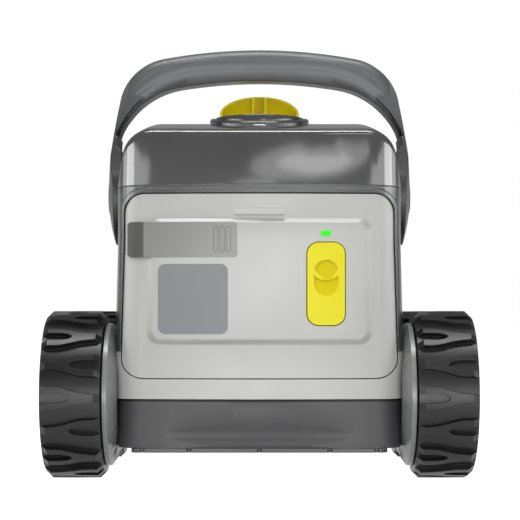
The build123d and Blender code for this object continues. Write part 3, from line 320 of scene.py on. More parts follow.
def bare_metal(name, code, roughness):
    """Turned metal with fine scratches."""
    made, tree, output = blank(name)
    place = add(tree, "ShaderNodeTexCoord").outputs["Object"]
    fine = add(tree, "ShaderNodeTexNoise", {"Scale": 1 / (SCRATCH * MM), "Detail": 3.0}, {"Vector": place})
    gloss = add(
        tree,
        "ShaderNodeMapRange",
        {"To Min": roughness - METAL_DRIFT, "To Max": roughness + METAL_DRIFT},
        {"Value": fine.outputs["Fac"]},
    )
    shader = add(
        tree,
        "ShaderNodeBsdfPrincipled",
        {"Base Color": linear(code), "Metallic": 1.0},
        {"Roughness": gloss.outputs["Result"]},
    )
    tree.links.new(shader.outputs["BSDF"], output.inputs["Surface"])
    return made


def lit_lens(name, code, strength):
    """A clear coloured lens with a lamp behind it."""
    made, tree, output = blank(name)
    place = add(tree, "ShaderNodeTexCoord").outputs["Object"]
    ripple = add(tree, "ShaderNodeTexNoise", {"Scale": 1 / (RIPPLE * MM)}, {"Vector": place})
    bump = add(tree, "ShaderNodeBump", {"Distance": RIPPLE_DEPTH * MM}, {"Height": ripple.outputs["Fac"]})
    shader = add(
        tree,
        "ShaderNodeBsdfPrincipled",
        {
            "Base Color": linear(code),
            "Roughness": 0.3,
            "IOR": 1.2,
            "Emission Color": linear(code),
            "Emission Strength": strength,
        },
        {"Normal": bump.outputs["Normal"]},
    )
    tree.links.new(shader.outputs["BSDF"], output.inputs["Surface"])
    return made


# each finish: its maker, name, colour or the setting that holds it, roughness or a lens's strength, and what
# else its maker takes; grains are drawn coarser than a real mould leaves them, so that they show
FINISHES = {
    # ABS from a polished mould: dark, with a clear sharp sheen that shows the soft boxes' edges
    "polished_abs": (
        moulded, "Polished ABS, dark grey", "cover", 0.08,
        {"grain": 1.4, "depth": 0.002, "edge": 0.6, "drift": 0.012},
    ),
    # ABS from a lightly etched mould: the sheen is wider and softer than the cover's
    "etched_abs": (
        moulded, "Etched ABS, dark grey", "frame", 0.22,
        {"grain": 0.7, "depth": 0.006, "edge": 1.6},
    ),
    # etched deeper, so that light slides over the handle without an edge, and painted shade darkens its legs
    # downwards
    "handle_abs": (
        moulded, "Etched ABS, handle grey", "handle", 0.44,
        {"grain": 0.6, "depth": 0.012, "edge": 2.4, "foot": ("#242526", 0.345, 0.425)},
    ),
    # the apron's coarse etching breaks its sheen into soft patches
    "apron_abs": (
        moulded, "Etched ABS, apron", "apron", 0.55,
        {"grain": 2.6, "depth": 0.12, "edge": 0.8, "drift": 0.06, "wear": 0.09},
    ),
    # sprayed satin lacquer: pale, even and smooth, with a slow sheen over its bends
    "painted_abs": (
        moulded, "Lacquered ABS, pale grey", "panel", 0.36,
        {"grain": 0.8, "depth": 0.006, "edge": 0.8, "wear": 0.015},
    ),
    # the same lacquer in grey: the drums' rims catch a line of light
    "drum_abs": (
        moulded, "Lacquered ABS, drum grey", "drum", 0.3,
        {"grain": 0.8, "depth": 0.006, "edge": 0.6, "wear": 0.03},
    ),
    # rubber fresh from its mould: black, with dull lights along the blocks' edges
    "tyre_rubber": (
        moulded, "Moulded rubber, black", "tyre", 0.36,
        {"grain": 0.5, "depth": 0.015, "edge": 0.9, "wear": 0.1, "ior": 1.38},
    ),
    # softer rubber with more filler: matt all over
    "soft_rubber": (
        moulded, "Soft rubber, dark grey", "#2E2F31", 0.6,
        {"grain": 0.5, "depth": 0.03, "edge": 0.4},
    ),
    # painted shadow: a black strip stands in for the shaded gap between the shell and the apron
    "seal_rubber": (
        moulded, "Soft rubber, black", "#0C0C0D", 0.55,
        {"grain": 0.5, "depth": 0.02, "edge": 0.3, "ior": 1.35},
    ),
    # yellow with little white light on it, so that the colour stays full
    "accent_abs": (
        moulded, "Glossy ABS, yellow", "accent", 0.3,
        {"grain": 0.9, "depth": 0.006, "edge": 0.8, "wear": 0.02, "ior": 1.2},
    ),
    # the grip is spark-eroded and duller than the glossy slab round it, and its darker yellow is painted
    # shade
    "accent_etched": (
        moulded, "Etched ABS, yellow", "#EFDF08", 0.55,
        {"grain": 0.5, "depth": 0.03, "edge": 0.6, "wear": 0.03, "ior": 1.2},
    ),
    # the outlet's walls are duller than its rim, and their darker yellow is painted shade inside the bore
    "accent_inner": (
        moulded, "ABS, deep yellow, as moulded", "#F4E004", 0.5,
        {"grain": 0.6, "depth": 0.01, "edge": 0.5, "ior": 1.2},
    ),
    # hard-coated sheet: flat and even, with a faint broad sheen
    "plate_grey": (
        moulded, "Hard-coated polycarbonate, grey", "plate", 0.3,
        {"grain": 0.5, "depth": 0.004, "edge": 0.3, "wear": 0.02},
    ),
    # the same sheet printed darker, and a little duller
    "plate_dark": (
        moulded, "Hard-coated polycarbonate, dark grey", "#4C4C4B", 0.4,
        {"grain": 0.5, "depth": 0.004, "edge": 0.3, "ior": 1.35},
    ),
    # a thin dark outline round each window
    "window_edge": (
        moulded, "Smoked polycarbonate, edge", "#4E4F50", 0.25,
        {"grain": 0.8, "depth": 0.002, "edge": 0.2},
    ),
    # cut film: flat and matt, without a light of its own
    "sticker_vinyl": (
        moulded, "Matt vinyl, grey", "sticker", 0.45,
        {"grain": 0.4, "depth": 0.004, "edge": 0.1, "wear": 0.02},
    ),
    # waxy white gears with soft lights
    "acetal": (
        moulded, "Moulded acetal, white", "#DEDCD3", 0.38,
        {"grain": 0.7, "depth": 0.01, "edge": 0.3},
    ),
    # glass fibres roughen the nylon, so the rims look dry
    "rim_nylon": (
        moulded, "Glass-filled nylon, mid grey", "#6C6D6E", 0.42,
        {"grain": 0.6, "depth": 0.02, "edge": 0.6},
    ),
    # inner parts from etched moulds: near black, with a broad sheen
    "tub_abs": (
        moulded, "Etched ABS, inner black", "#3B3C3D", 0.45,
        {"grain": 0.7, "depth": 0.015, "edge": 0.5},
    ),
    # the basket is waxy: mid grey, with a broad soft sheen
    "basket_polypropylene": (
        moulded, "Moulded polypropylene, mid grey", "#8B8D8E", 0.42,
        {"grain": 0.7, "depth": 0.01, "edge": 0.5},
    ),
    # the threads are too fine to show, so the weave is drawn as a coarse pale roughness
    "mesh_nylon": (
        moulded, "Woven nylon mesh", "#9FA1A2", 0.6,
        {"grain": 0.9, "depth": 0.12, "edge": 0.1},
    ),
    # lacquer over copper: deep green and slightly wavy
    "board": (
        moulded, "Solder-masked board", "#155332", 0.3,
        {"grain": 0.9, "depth": 0.01, "edge": 0.2},
    ),
    # baked powder: an even orange-peel skin
    "can_paint": (
        moulded, "Powder-coated can", "#5B5D61", 0.42,
        {"grain": 0.5, "depth": 0.02, "edge": 0.6},
    ),
    # turned steel: bright and cool, with lights that fine scratches spread
    "steel": (bare_metal, "Stainless steel, turned", "#C4C5C7", 0.28, {}),
    # turned brass: the same lights, warm
    "brass": (bare_metal, "Brass, turned", "#D9B45B", 0.3, {}),
    # the lens glows evenly in its own colour
    "status_lens": (lit_lens, "Lit polycarbonate, green", "light", 0.5, {}),
}
finished = {}


def finish(name):
    """The material of that name, made on first use."""
    if name not in finished:
        maker, title, colour, level, more = FINISHES[name]
        code = colour if colour.startswith("#") else getattr(bpy.context.scene.cleaner_colours, colour)
        finished[name] = maker(title, code, level, **more)
    return finished[name]


# ---- modelling helpers ---------------------------------------------------------------
def only(piece):
    """Leaves everything unselected but this piece, which becomes the active one."""
    bpy.ops.object.select_all(action="DESELECT")
    piece.hide_set(False)
    piece.select_set(True)
    bpy.context.view_layer.objects.active = piece


def paint(piece, *names):
    """Gives a piece its materials, in slot order."""
    piece.data.materials.clear()
    for name in names:
        piece.data.materials.append(finish(name))


def settle(piece, name, body, replaced=(), smooth=SMOOTH_BELOW):
    """Names a finished piece, brings its place into its mesh, smooths it and makes it ride on its body."""
    only(piece)
    bpy.ops.object.transform_apply(location=True, rotation=True, scale=True)
    bpy.ops.object.shade_smooth_by_angle(angle=math.radians(smooth))
    piece.name = name
    piece.data.name = name
    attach(piece, body)
    if replaced:
        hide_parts(*replaced)


def cast(node):
    """A merged copy of a CAD node, free of its body, to be worked up into a finished piece."""
    only(frame["nodes"][node])
    bpy.ops.object.duplicate()
    piece = bpy.context.object
    bpy.ops.object.parent_clear(type="CLEAR_KEEP_TRANSFORM")
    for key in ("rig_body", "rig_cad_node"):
        del piece[key]
    if piece.data.has_custom_normals:
        bpy.ops.mesh.customdata_custom_splitnormals_clear()
    bpy.ops.object.mode_set(mode="EDIT")
    bpy.ops.mesh.select_all(action="SELECT")
    bpy.ops.mesh.remove_doubles(threshold=SLACK)
    bpy.ops.mesh.dissolve_limited(angle_limit=math.radians(FLAT_BELOW))
    bpy.ops.object.mode_set(mode="OBJECT")
    return piece


def split(piece, place, direction):
    """Cuts an edge through a whole piece, where a finish ends or a bend starts."""
    only(piece)
    bpy.ops.object.mode_set(mode="EDIT")
    bpy.ops.mesh.select_all(action="SELECT")
    bpy.ops.mesh.bisect(plane_co=place, plane_no=direction)
    bpy.ops.object.mode_set(mode="OBJECT")


def refinish(piece, inside):
    """Gives the faces whose corners all pass a test the piece's second material."""
    corners = piece.data.vertices
    for face in piece.data.polygons:
        if all(inside(corners[k].co, face.normal) for k in face.vertices):
            face.material_index = 1


def pick(piece, chosen):
    """Opens a piece in edit mode with only the faces that pass a test selected."""
    only(piece)
    bpy.ops.object.mode_set(mode="EDIT")
    bpy.ops.mesh.select_mode(type="FACE")
    bpy.ops.mesh.select_all(action="DESELECT")
    bpy.ops.object.mode_set(mode="OBJECT")
    for face in piece.data.polygons:
        face.select = chosen(face)
    bpy.ops.object.mode_set(mode="EDIT")


def held(share):
    """A share held between 0 and 1."""
    return min(max(share, 0), 1)


# ---- pieces --------------------------------------------------------------------------
# each dressed casing: its body, its slot and its finish
CASINGS = {
    "top_cover": ("body", "dark_gloss", "polished_abs"),
    "filter_lid": ("lid", "dark_gloss", "polished_abs"),
    "upper_frame": ("body", "dark_matte", "etched_abs"),
    "lower_shell": ("body", "light_satin", "painted_abs"),
    "rear_panel": ("body", "light_satin", "painted_abs"),
    "base_chassis": ("body", "dark_matte", "apron_abs"),
    "gear_case_left": ("body", "light_satin", "drum_abs"),
    "gear_case_right": ("body", "light_satin", "drum_abs"),
    "carry_handle": ("handle", "dark_matte", "handle_abs"),
    "outlet_nozzle": ("body", "yellow", "accent_abs"),
    "charge_cap": ("cap", "yellow", "accent_abs"),
    "badge_plate": ("body", "badge_grey", "plate_grey"),
}

# the finishes of the inner parts, which keep their CAD shapes
CAD_FINISHES = {
    "bottom_plate": "tub_abs",
    "bottom_screws": "steel",
    "status_lens": "status_lens",
    "charge_socket": "tub_abs",
    "socket_pins": "brass",
    "charge_seal": "soft_rubber",
    "lid_latch": "etched_abs",
    "lid_hinge_pins": "steel",
    "pump_housing": "tub_abs",
    "pump_motor": "can_paint",
    "propeller": "tub_abs",
    "battery_pack": "can_paint",
    "control_board": "board",
    "drive_motors": "can_paint",
    "filter_basket": "basket_polypropylene",
    "filter_mesh": "mesh_nylon",
    "intake_flap": "soft_rubber",
    "gear_covers": "rim_nylon",
    "stub_axles": "steel",
    "axle_bushes": "brass",
    "brush_core": "rim_nylon",
    "brush_fins": "soft_rubber",
    "handle_pivots": "steel",
    "pivot_caps": "etched_abs",
    "drive_pinion_left": "steel",
    "drive_pinion_right": "steel",
}


def two_tone_badge(piece):
    """The plate's end on the panel's rim is darker."""
    split(piece, (BADGE_TONE_X, 0, 0), (1, 0, 0))
    refinish(piece, lambda corner, normal: corner.x < BADGE_TONE_X + SLACK)


def etched_shaded_grip(piece):
    """The cap's finger dish is etched and painted a darker yellow as shade, and its slab stays glossy."""
    refinish(
        piece,
        lambda corner, normal: abs(corner.x - CAP_X) < GRIP_HALF
        and abs(corner.z - GRIP_Z) < GRIP_HALF_TALL
        and corner.y < GRIP_BACK
        and normal.y < FORWARD,
    )


def shaded_outlet(piece):
    """The outlet's walls are painted a darker yellow as shade, and its rim and the edges of its vanes are
    not.
    """
    refinish(
        piece,
        lambda corner, normal: math.hypot(corner.x, corner.y - OUTLET_Y) < OUTLET_BORE
        and abs(normal.z) < UPRIGHT,
    )


def shadow_lined_apron(piece):
    """A black strip is painted round the apron's upper edge, under the shell, as the shadow in the gap
    there.
    """
    split(piece, (0, 0, SHADOW_LINE_Z), (0, 0, 1))
    refinish(piece, lambda corner, normal: corner.z > SHADOW_LINE_Z - SLACK)


def flared(piece):
    """The body's flanks lean out a little towards the bottom, and their rounded corners go with them."""
    split(piece, (0, 0, FLARE_TOP), (0, 0, 1))
    for side, name in ((-1, "left"), (1, "right")):
        group = piece.vertex_groups.new(name=name)
        for corner in piece.data.vertices:
            out = side * corner.co.x
            share = held((out - FLARE_START) / (FLARE_CREST - FLARE_START))
            share -= FLARE_BACK_SHARE * held((out - FLARE_CREST) / FLARE_FALL)
            share *= held((FLARE_TOP - corner.co.z) / FLARE_RUN)
            if share > 0:
                group.add([corner.index], share, "REPLACE")
        lean = piece.modifiers.new(name + " lean", "DISPLACE")
        lean.direction = "X"
        lean.mid_level = 0
        lean.strength = side * FLARE
        lean.vertex_group = name
        only(piece)
        bpy.ops.object.modifier_apply(modifier=lean.name)


def bow(x):
    """How far the body's rear face stands back from its middle, at a distance from the middle."""
    return BOW_RADIUS - math.sqrt(BOW_RADIUS**2 - x**2)


def field_place(place):
    """Where a point stands on the raised field's slope.

    That is how far it lies past its corner's centre, sideways and up, how far off the slope, and what share
    of the way down it.
    """
    depth = place.y - FIELD_FRONT
    down = (depth - bow(place.x)) / FIELD_RISE
    out = abs(place.x) - FIELD_HALF + FIELD_ROUND
    up = abs(place.z - FIELD_Z) - FIELD_HALF_TALL + FIELD_ROUND - (FIELD_STEEP - FIELD_SPREAD) * depth
    off = math.hypot(max(up, 0), max(out, 0)) - FIELD_ROUND - FIELD_SPREAD * depth
    return out, up, off, down


def trued_field(piece):
    """The raised field's slopes run straight, with tight corners, and their edges are rounded."""
    rims = (set(), set())
    for corner in piece.data.vertices:
        out, up, off, down = field_place(corner.co)
        if abs(off) < ON_RIM and abs(down - round(down)) < ON_RIM_SHARE and round(down) in (0, 1):
            rims[round(down)].add(corner.index)
    pick(piece, lambda face: False)
    bpy.ops.mesh.select_mode(type="EDGE")
    bpy.ops.mesh.edges_select_sharp(sharpness=math.radians(RIM_TURN))
    bpy.ops.object.mode_set(mode="OBJECT")
    for edge in piece.data.edges:
        edge.select = edge.select and any(rim.issuperset(edge.vertices) for rim in rims)
    bpy.ops.object.mode_set(mode="EDIT")
    bpy.ops.mesh.bevel(offset=RIM_ROUND, segments=3, clamp_overlap=False)
    bpy.ops.object.mode_set(mode="OBJECT")
    for corner in piece.data.vertices:
        place = corner.co
        out, up, off, down = field_place(place)
        if abs(off) > WITH_RIM or not -WITH_RIM_SHARE < down < 1 + WITH_RIM_SHARE:
            continue
        share = held(down)
        half, tall, curve = (a + (b - a) * share for a, b in zip(RIM_CROWN, RIM_FOOT))
        turn = math.atan2(max(up, 0), max(out, 0))
        x = abs(place.x) * (half - curve) / (FIELD_HALF - FIELD_ROUND)
        z = tall - curve + up
        if out > 0:
            x = half - curve + (curve + off) * math.cos(turn)
        if up > 0:
            z = tall - curve + (curve + off) * math.sin(turn)
        x = math.copysign(x, place.x)
        corner.co = (x, place.y + bow(x) - bow(place.x), FIELD_Z + math.copysign(z, place.z - FIELD_Z))


def dressed_panel(piece):
    """The service panel's field is trued up, and its flanks lean with the body."""
    trued_field(piece)
    flared(piece)


def necked_case(piece):
    """The rear drum stands off the body's flank on a narrower neck."""
    for corner in piece.data.vertices:
        back, up = -corner.co.y - DRUM_Y, corner.co.z - DRUM_Z
        reach = math.hypot(back, up)
        if abs(corner.co.x) < NECK_X and reach > NECK_REACH:
            share = held(back / NECK_BLEND + 1)
            shrink = 1 + share * (NECK_REACH / reach - 1)
            corner.co.y = -DRUM_Y - back * shrink
            corner.co.z = DRUM_Z + up * shrink


def widened_grip(piece):
    """The grip's lower bevels are drawn out to half their depth, so that they slope less than 45 degrees."""
    corners = piece.data.vertices
    for side in (-1, 1):
        face_y = HANDLE_Y + side * HANDLE_HALF

        def bevelled(face):
            normal, place = face.normal, face.center
            inwards = -math.copysign(normal.x, normal.x * place.x) if place.x else 0
            lower = normal.z < -BEVEL_DOWN or inwards > BEVEL_INWARDS
            least, most = BEVEL_NORMAL
            return least < side * normal.y < most and place.z > HANDLE_SHOULDER and lower

        pick(piece, bevelled)
        bpy.ops.object.mode_set(mode="OBJECT")
        chosen = {k for face in piece.data.polygons if face.select for k in face.vertices}
        pick(piece, lambda face: False)
        bpy.ops.mesh.select_mode(type="VERT")
        bpy.ops.object.mode_set(mode="OBJECT")
        for k in chosen:
            corners[k].select = side * (corners[k].co.y - face_y) < -BEVEL_SLACK
        bpy.ops.object.mode_set(mode="EDIT")
        bpy.ops.transform.resize(value=(1, BEVEL_DRAWN, 1), center_override=(0, face_y, 0))
        bpy.ops.object.mode_set(mode="OBJECT")


# how some casings are worked up, and the second finish that this takes
DETAILS = {
    "badge_plate": (two_tone_badge, ["plate_dark"]),
    # the cap's darker grip is painted shade
    "charge_cap": (etched_shaded_grip, ["accent_etched"]),
    # the outlet's darker walls are painted shade
    "outlet_nozzle": (shaded_outlet, ["accent_inner"]),
    # the black strip at the apron's top is a painted shadow
    "base_chassis": (shadow_lined_apron, ["seal_rubber"]),
    "carry_handle": (widened_grip, []),
    "rear_panel": (dressed_panel, []),
    "upper_frame": (flared, []),
    "lower_shell": (flared, []),
    "gear_case_left": (necked_case, []),
    "gear_case_right": (necked_case, []),
}


class CLEANER_OT_casings(bpy.types.Operator):
    """Works up the moulded casings from their CAD shapes."""

    bl_idname = "cleaner.casings"
    bl_label = "Casings"

    def execute(self, context):
        for node, (body, slot, material) in CASINGS.items():
            piece = cast(node)
            rework, second = DETAILS.get(node, (None, []))
            paint(piece, material, *second)
            if rework:
                rework(piece)
            settle(piece, node + "_dressed", body, [node])
        return {"FINISHED"}


class CLEANER_OT_ridge(bpy.types.Operator):
    """The soft ridges that run along both faces of the handle's grip."""

    bl_idname = "cleaner.ridge"
    bl_label = "Handle ridges"

    def execute(self, context):
        for end, side in (("rear", -1), ("front", 1)):
            bpy.ops.object.select_all(action="DESELECT")
            bpy.ops.curve.primitive_nurbs_path_add()
            rail = context.object
            spline = rail.data.splines[0]
            whole = [(-x, z, size) for x, z, size in reversed(RIDGE)] + RIDGE[1:]
            spline.points.add(len(whole) - len(spline.points))
            for point, (x, z, size) in zip(spline.points, whole):
                point.co = (x, 0, z, 1)
                point.radius = size
            spline.use_endpoint_u = True
            spline.order_u = 4
            rail.data.resolution_u = 10
            rail.data.bevel_depth = RIDGE_HALF
            rail.data.bevel_resolution = 8
            rail.data.use_fill_caps = True
            bpy.ops.object.convert(target="MESH")
            rail = context.object
            rail.scale = (1, RIDGE_HALF_DEEP / RIDGE_HALF, 1)
            rail.location = (0, HANDLE_Y + side * (HANDLE_HALF - RIDGE_SINK), 0)
            paint(rail, "handle_abs")
            settle(rail, "handle_ridge_" + end, "handle", smooth=RIDGE_SMOOTH_BELOW)
        return {"FINISHED"}


def bare_label():
    """A film with round corners, cut across in strips so that it follows the bowed panel that it lies on."""
    bpy.ops.object.select_all(action="DESELECT")
    bpy.ops.mesh.primitive_plane_add(size=1, location=LABEL_PLACE, rotation=(math.radians(90), 0, 0))
    label = bpy.context.object
    label.scale = (LABEL_SIZE, LABEL_SIZE, 1)
    bpy.ops.object.transform_apply(location=True, rotation=True, scale=True)
    bpy.ops.object.mode_set(mode="EDIT")
    bpy.ops.mesh.select_all(action="SELECT")
    bpy.ops.mesh.bevel(offset=LABEL_CORNER, segments=6, affect="VERTICES")
    for step in range(1, LABEL_STRIPS):
        across = LABEL_PLACE[0] + LABEL_SIZE * (step / LABEL_STRIPS - 0.5)
        bpy.ops.mesh.select_all(action="SELECT")
        bpy.ops.mesh.bisect(plane_co=(across, 0, 0), plane_no=(1, 0, 0))
    bpy.ops.object.mode_set(mode="OBJECT")
    wrap = label.modifiers.new("on the panel", "SHRINKWRAP")
    wrap.target = bpy.data.objects["rear_panel_dressed"]
    wrap.wrap_method = "PROJECT"
    wrap.use_project_x = False
    wrap.use_project_y = True
    wrap.use_project_z = False
    wrap.use_positive_direction = True
    wrap.use_negative_direction = False
    wrap.offset = LABEL_LIFT
    bpy.ops.object.modifier_apply(modifier=wrap.name)
    skin = label.modifiers.new("film", "SOLIDIFY")
    skin.thickness = LABEL_THICKNESS
    skin.offset = 0
    bpy.ops.object.modifier_apply(modifier=skin.name)
    paint(label, "sticker_vinyl")
    settle(label, "panel_label", "body")


def outlined_windows():
    """The plain plate's three windows, each with a printed outline round its front."""
    windows = cast("badge_windows")
    paint(windows, "plate_grey", "window_edge")
    pick(windows, lambda face: face.normal.y < -SQUARE_ON)
    bpy.ops.mesh.inset(thickness=WINDOW_EDGE, depth=0)
    bpy.ops.object.mode_set(mode="OBJECT")
    for face in windows.data.polygons:
        face.material_index = 0 if face.select else 1
    settle(windows, "badge_windows_dressed", "body", ["badge_windows"])


class CLEANER_OT_labels(bpy.types.Operator):
    """The bare label on the panel and the three windows in the plain plate."""

    bl_idname = "cleaner.labels"
    bl_label = "Labels"

    def execute(self, context):
        bare_label()
        outlined_windows()
        return {"FINISHED"}


# what a wheel is dressed with: each piece's kind, slot and finish
WHEEL_PIECES = [
    ("tyre", "tyre_rubber", "tyre_rubber"),
    ("rim", "mid_satin", "rim_nylon"),
    ("hub_cap", "yellow", "accent_abs"),
]


class CLEANER_OT_wheels(bpy.types.Operator):
    """Tyres, rims and hub caps."""

    bl_idname = "cleaner.wheels"
    bl_label = "Wheels"

    def execute(self, context):
        for corner in CORNERS:
            for kind, slot, material in WHEEL_PIECES:
                node = kind + "_" + corner
                piece = cast(node)
                paint(piece, material)
                settle(piece, node + "_dressed", "wheel_" + corner, [node])
        return {"FINISHED"}


class CLEANER_OT_inner_parts(bpy.types.Operator):
    """Gives the inner parts that keep their CAD shapes their materials."""

    bl_idname = "cleaner.inner_parts"
    bl_label = "Inner parts"

    def execute(self, context):
        finishes = dict(CAD_FINISHES)
        for corner in CORNERS:
            finishes["wheel_gear_" + corner] = "acetal"
            finishes["idler_gear_" + corner] = "acetal"
        for node, material in finishes.items():
            paint(frame["nodes"][node], material)
        return {"FINISHED"}


# ---- studio --------------------------------------------------------------------------
FLOOR_WIDTH = 12.0
SENSOR_WIDTH = 36.0  # millimetres
CLIP_START = 0.02

# soft light that colours render by, as (name, place, target, its power's setting, width, height, reflected)
LAMPS = [
    ("Key", (-0.5, -2.3, 1.5), (0, 0, 0.2), "key", 1.8, 1.0, False),
    ("Fill", (0.9, -2.3, 0.7), (0, 0, 0.2), "fill", 1.2, 1.0, False),
    ("Top", (0, -0.2, 1.9), (0, 0, 0.3), "fill", 1.0, 1.0, True),
]
SIDE_LAMPS = [
    ("Side", (2.2, -1.2, 0.3), (0, 0, 0.15), "sides", 0.8, 0.5, False),
]

# soft boxes that only show in reflections, as (name, place, target, brightness, width, height), with the
# roll of an oval in degrees
CARDS = [
    ("Low card", (0, -2.4, 0.09), (0, 0, 0.09), 36.0, 1.1, 0.17),
    ("Frame card", (-0.03, -2.4, 0.44), (-0.03, 0, 0.44), 9.0, 0.26, 0.07),
    ("Wide oval", (0.36, -2.4, 0.625), (0.36, 0, 0.625), 3.8, 0.84, 0.23, 9),
    ("Inner oval", (0.38, -2.39, 0.615), (0.38, 0, 0.615), 4.2, 0.52, 0.13, 5),
    ("Upper right card", (0.6, -1.7, 1.55), (0, 0, 0.3), 6.0, 0.5, 0.4),
    ("Crest card", (0, -0.5, 2.0), (0, -0.2, 0.35), 30.0, 1.6, 0.22),
]
SIDE_CARDS = [
    ("Wing box", (1.95, -1.15, 0.525), (0.13, -0.17, 0.525), 5.0, 4.05, 0.31),
    ("Core card", (1.94, -0.98, 0.525), (0.13, -0.17, 0.525), 8.0, 1.35, 0.29),
]


def both_sides(rows):
    """A table's rows with place and target mirrored to the left, and then as they are, to the right."""
    for side in (-1, 1):
        for name, place, target, *rest in rows:
            yield name, (side * place[0], *place[1:]), (side * target[0], *target[1:]), *rest


def soft_box(name, place, target, power, wide, high, reflected=True, lit=True, roll=None):
    """An area lamp turned to its target: a rectangle, or an oval rolled by some degrees."""
    bpy.ops.object.light_add(type="AREA", location=place)
    made = bpy.context.object
    made.name = name
    made.data.energy = power
    made.data.shape = "RECTANGLE" if roll is None else "ELLIPSE"
    made.data.size = wide
    made.data.size_y = high
    made.visible_glossy = reflected
    made.visible_diffuse = lit
    aim = [target[k] - place[k] for k in range(3)]
    flat = math.hypot(aim[0], aim[1])
    made.rotation_euler = (math.atan2(flat, -aim[2]), 0, math.atan2(aim[1], aim[0]) - math.pi / 2)
    if roll:
        bpy.ops.transform.rotate(value=math.radians(roll), orient_axis="Y", center_override=place)


def card(name, place, target, brightness, wide, high, roll=None):
    """A soft box of a given brightness, which is only seen in reflections."""
    area = wide * high * (1 if roll is None else math.pi / 4)
    soft_box(name, place, target, brightness * math.pi * area, wide, high, lit=False, roll=roll)


def white_paper():
    """Seamless paper, which takes light as pale grey and shows pure white to the eye and in reflections."""
    made, tree, output = blank("Seamless white paper")
    path = add(tree, "ShaderNodeLightPath")
    seen = add(
        tree,
        "ShaderNodeMath",
        links={0: path.outputs["Is Camera Ray"], 1: path.outputs["Is Glossy Ray"]},
        operation="MAXIMUM",
    )
    paper = add(tree, "ShaderNodeBsdfDiffuse", {"Color": linear("#E8E8E8")})
    glow = add(tree, "ShaderNodeEmission", {"Color": linear("#FFFFFF")}, {"Strength": seen.outputs["Value"]})
    both = add(tree, "ShaderNodeAddShader", links={0: paper.outputs["BSDF"], 1: glow.outputs["Emission"]})
    tree.links.new(both.outputs["Shader"], output.inputs["Surface"])
    return made


def white_surroundings(strength):
    """Surroundings that show white, with a dim ceiling in reflections, and give even light of a strength."""
    world = bpy.data.worlds.new("Studio surroundings")
    bpy.context.scene.world = world
    world.use_nodes = True
    tree = world.node_tree
    tree.nodes.clear()
    path = add(tree, "ShaderNodeLightPath")
    through = add(
        tree,
        "ShaderNodeMath",
        links={0: path.outputs["Is Camera Ray"], 1: path.outputs["Is Transmission Ray"]},
        operation="MAXIMUM",
    )
    # reflections see white up to eye height, which fades into the ceiling
    way = add(tree, "ShaderNodeTexCoord").outputs["Generated"]
    height = add(tree, "ShaderNodeSeparateXYZ", links={"Vector": way}).outputs["Z"]
    ceiling = add(
        tree,
        "ShaderNodeMapRange",
        {"From Min": 0.02, "From Max": 0.17, "To Min": 1.0, "To Max": 0.0},
        {"Value": height},
    )
    mirrored = add(
        tree,
        "ShaderNodeMath",
        links={0: path.outputs["Is Glossy Ray"], 1: ceiling.outputs["Result"]},
        operation="MULTIPLY",
    )
    seen = add(
        tree,
        "ShaderNodeMath",
        links={0: through.outputs["Value"], 1: mirrored.outputs["Value"]},
        operation="MAXIMUM",
    )
    level = add(
        tree,
        "ShaderNodeMapRange",
        {"To Min": strength, "To Max": 1.0},
        {"Value": seen.outputs["Value"]},
    )
    sky = add(
        tree,
        "ShaderNodeBackground",
        {"Color": linear("#FFFFFF")},
        {"Strength": level.outputs["Result"]},
    )
    output = add(tree, "ShaderNodeOutputWorld", links={"Surface": sky.outputs["Background"]})
    output.is_active_output = True


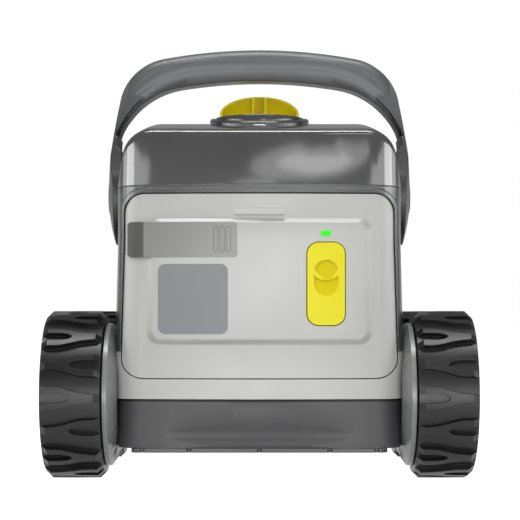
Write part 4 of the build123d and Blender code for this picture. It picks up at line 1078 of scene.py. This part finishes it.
class CLEANER_OT_studio(bpy.types.Operator):
    """White floor and surroundings, soft lamps and the camera."""

    bl_idname = "cleaner.studio"
    bl_label = "Studio"

    def execute(self, context):
        settings = context.scene.cleaner_studio
        bpy.ops.object.select_all(action="DESELECT")
        bpy.ops.mesh.primitive_plane_add(size=FLOOR_WIDTH)
        floor = context.object
        floor.name = "floor"
        floor.data.materials.append(white_paper())
        white_surroundings(settings.sky)

        for name, place, target, power, *shape in [*LAMPS, *both_sides(SIDE_LAMPS)]:
            soft_box(name, place, target, getattr(settings, power), *shape)
        for name, place, target, brightness, *shape in [*CARDS, *both_sides(SIDE_CARDS)]:
            card(name, place, target, settings.cards * brightness, *shape)

        bpy.ops.object.camera_add(
            location=(0, -settings.distance, settings.eye_height), rotation=(math.radians(90), 0, 0)
        )
        camera = context.object
        camera.name = "studio_camera"
        camera.data.lens = settings.lens
        camera.data.sensor_width = SENSOR_WIDTH
        camera.data.shift_x = settings.side
        camera.data.shift_y = settings.lift
        camera.data.clip_start = CLIP_START
        context.scene.camera = camera
        context.scene.view_settings.view_transform = "Standard"
        return {"FINISHED"}


# ---- the add-on ----------------------------------------------------------------------
class CLEANER_PT_looks(bpy.types.Panel):
    """Lists the steps in the 3D view's sidebar."""

    bl_idname = "CLEANER_PT_looks"
    bl_label = "Pool Cleaner"
    bl_space_type = "VIEW_3D"
    bl_region_type = "UI"
    bl_category = "Pool Cleaner"

    def draw(self, context):
        for step in STEPS:
            self.layout.operator(step.bl_idname)
        for group in (context.scene.cleaner_colours, context.scene.cleaner_studio):
            box = self.layout.box()
            for name in group.__annotations__:
                box.prop(group, name)


STEPS = [
    CLEANER_OT_casings,
    CLEANER_OT_ridge,
    CLEANER_OT_labels,
    CLEANER_OT_wheels,
    CLEANER_OT_inner_parts,
    CLEANER_OT_studio,
]
CLASSES = [CleanerColours, StudioSettings, *STEPS, CLEANER_PT_looks]


def register():
    """Registers the classes and gives the scene its settings."""
    for made in CLASSES:
        bpy.utils.register_class(made)
    bpy.types.Scene.cleaner_colours = bpy.props.PointerProperty(type=CleanerColours)
    bpy.types.Scene.cleaner_studio = bpy.props.PointerProperty(type=StudioSettings)


def unregister():
    """Takes the settings and the classes away again."""
    del bpy.types.Scene.cleaner_studio
    del bpy.types.Scene.cleaner_colours
    for made in reversed(CLASSES):
        bpy.utils.unregister_class(made)


def main():
    """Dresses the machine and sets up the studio."""
    register()
    bpy.ops.cleaner.casings()
    bpy.ops.cleaner.ridge()
    bpy.ops.cleaner.labels()
    bpy.ops.cleaner.wheels()
    bpy.ops.cleaner.inner_parts()
    bpy.ops.cleaner.studio()


if __name__ == "__main__":
    main()
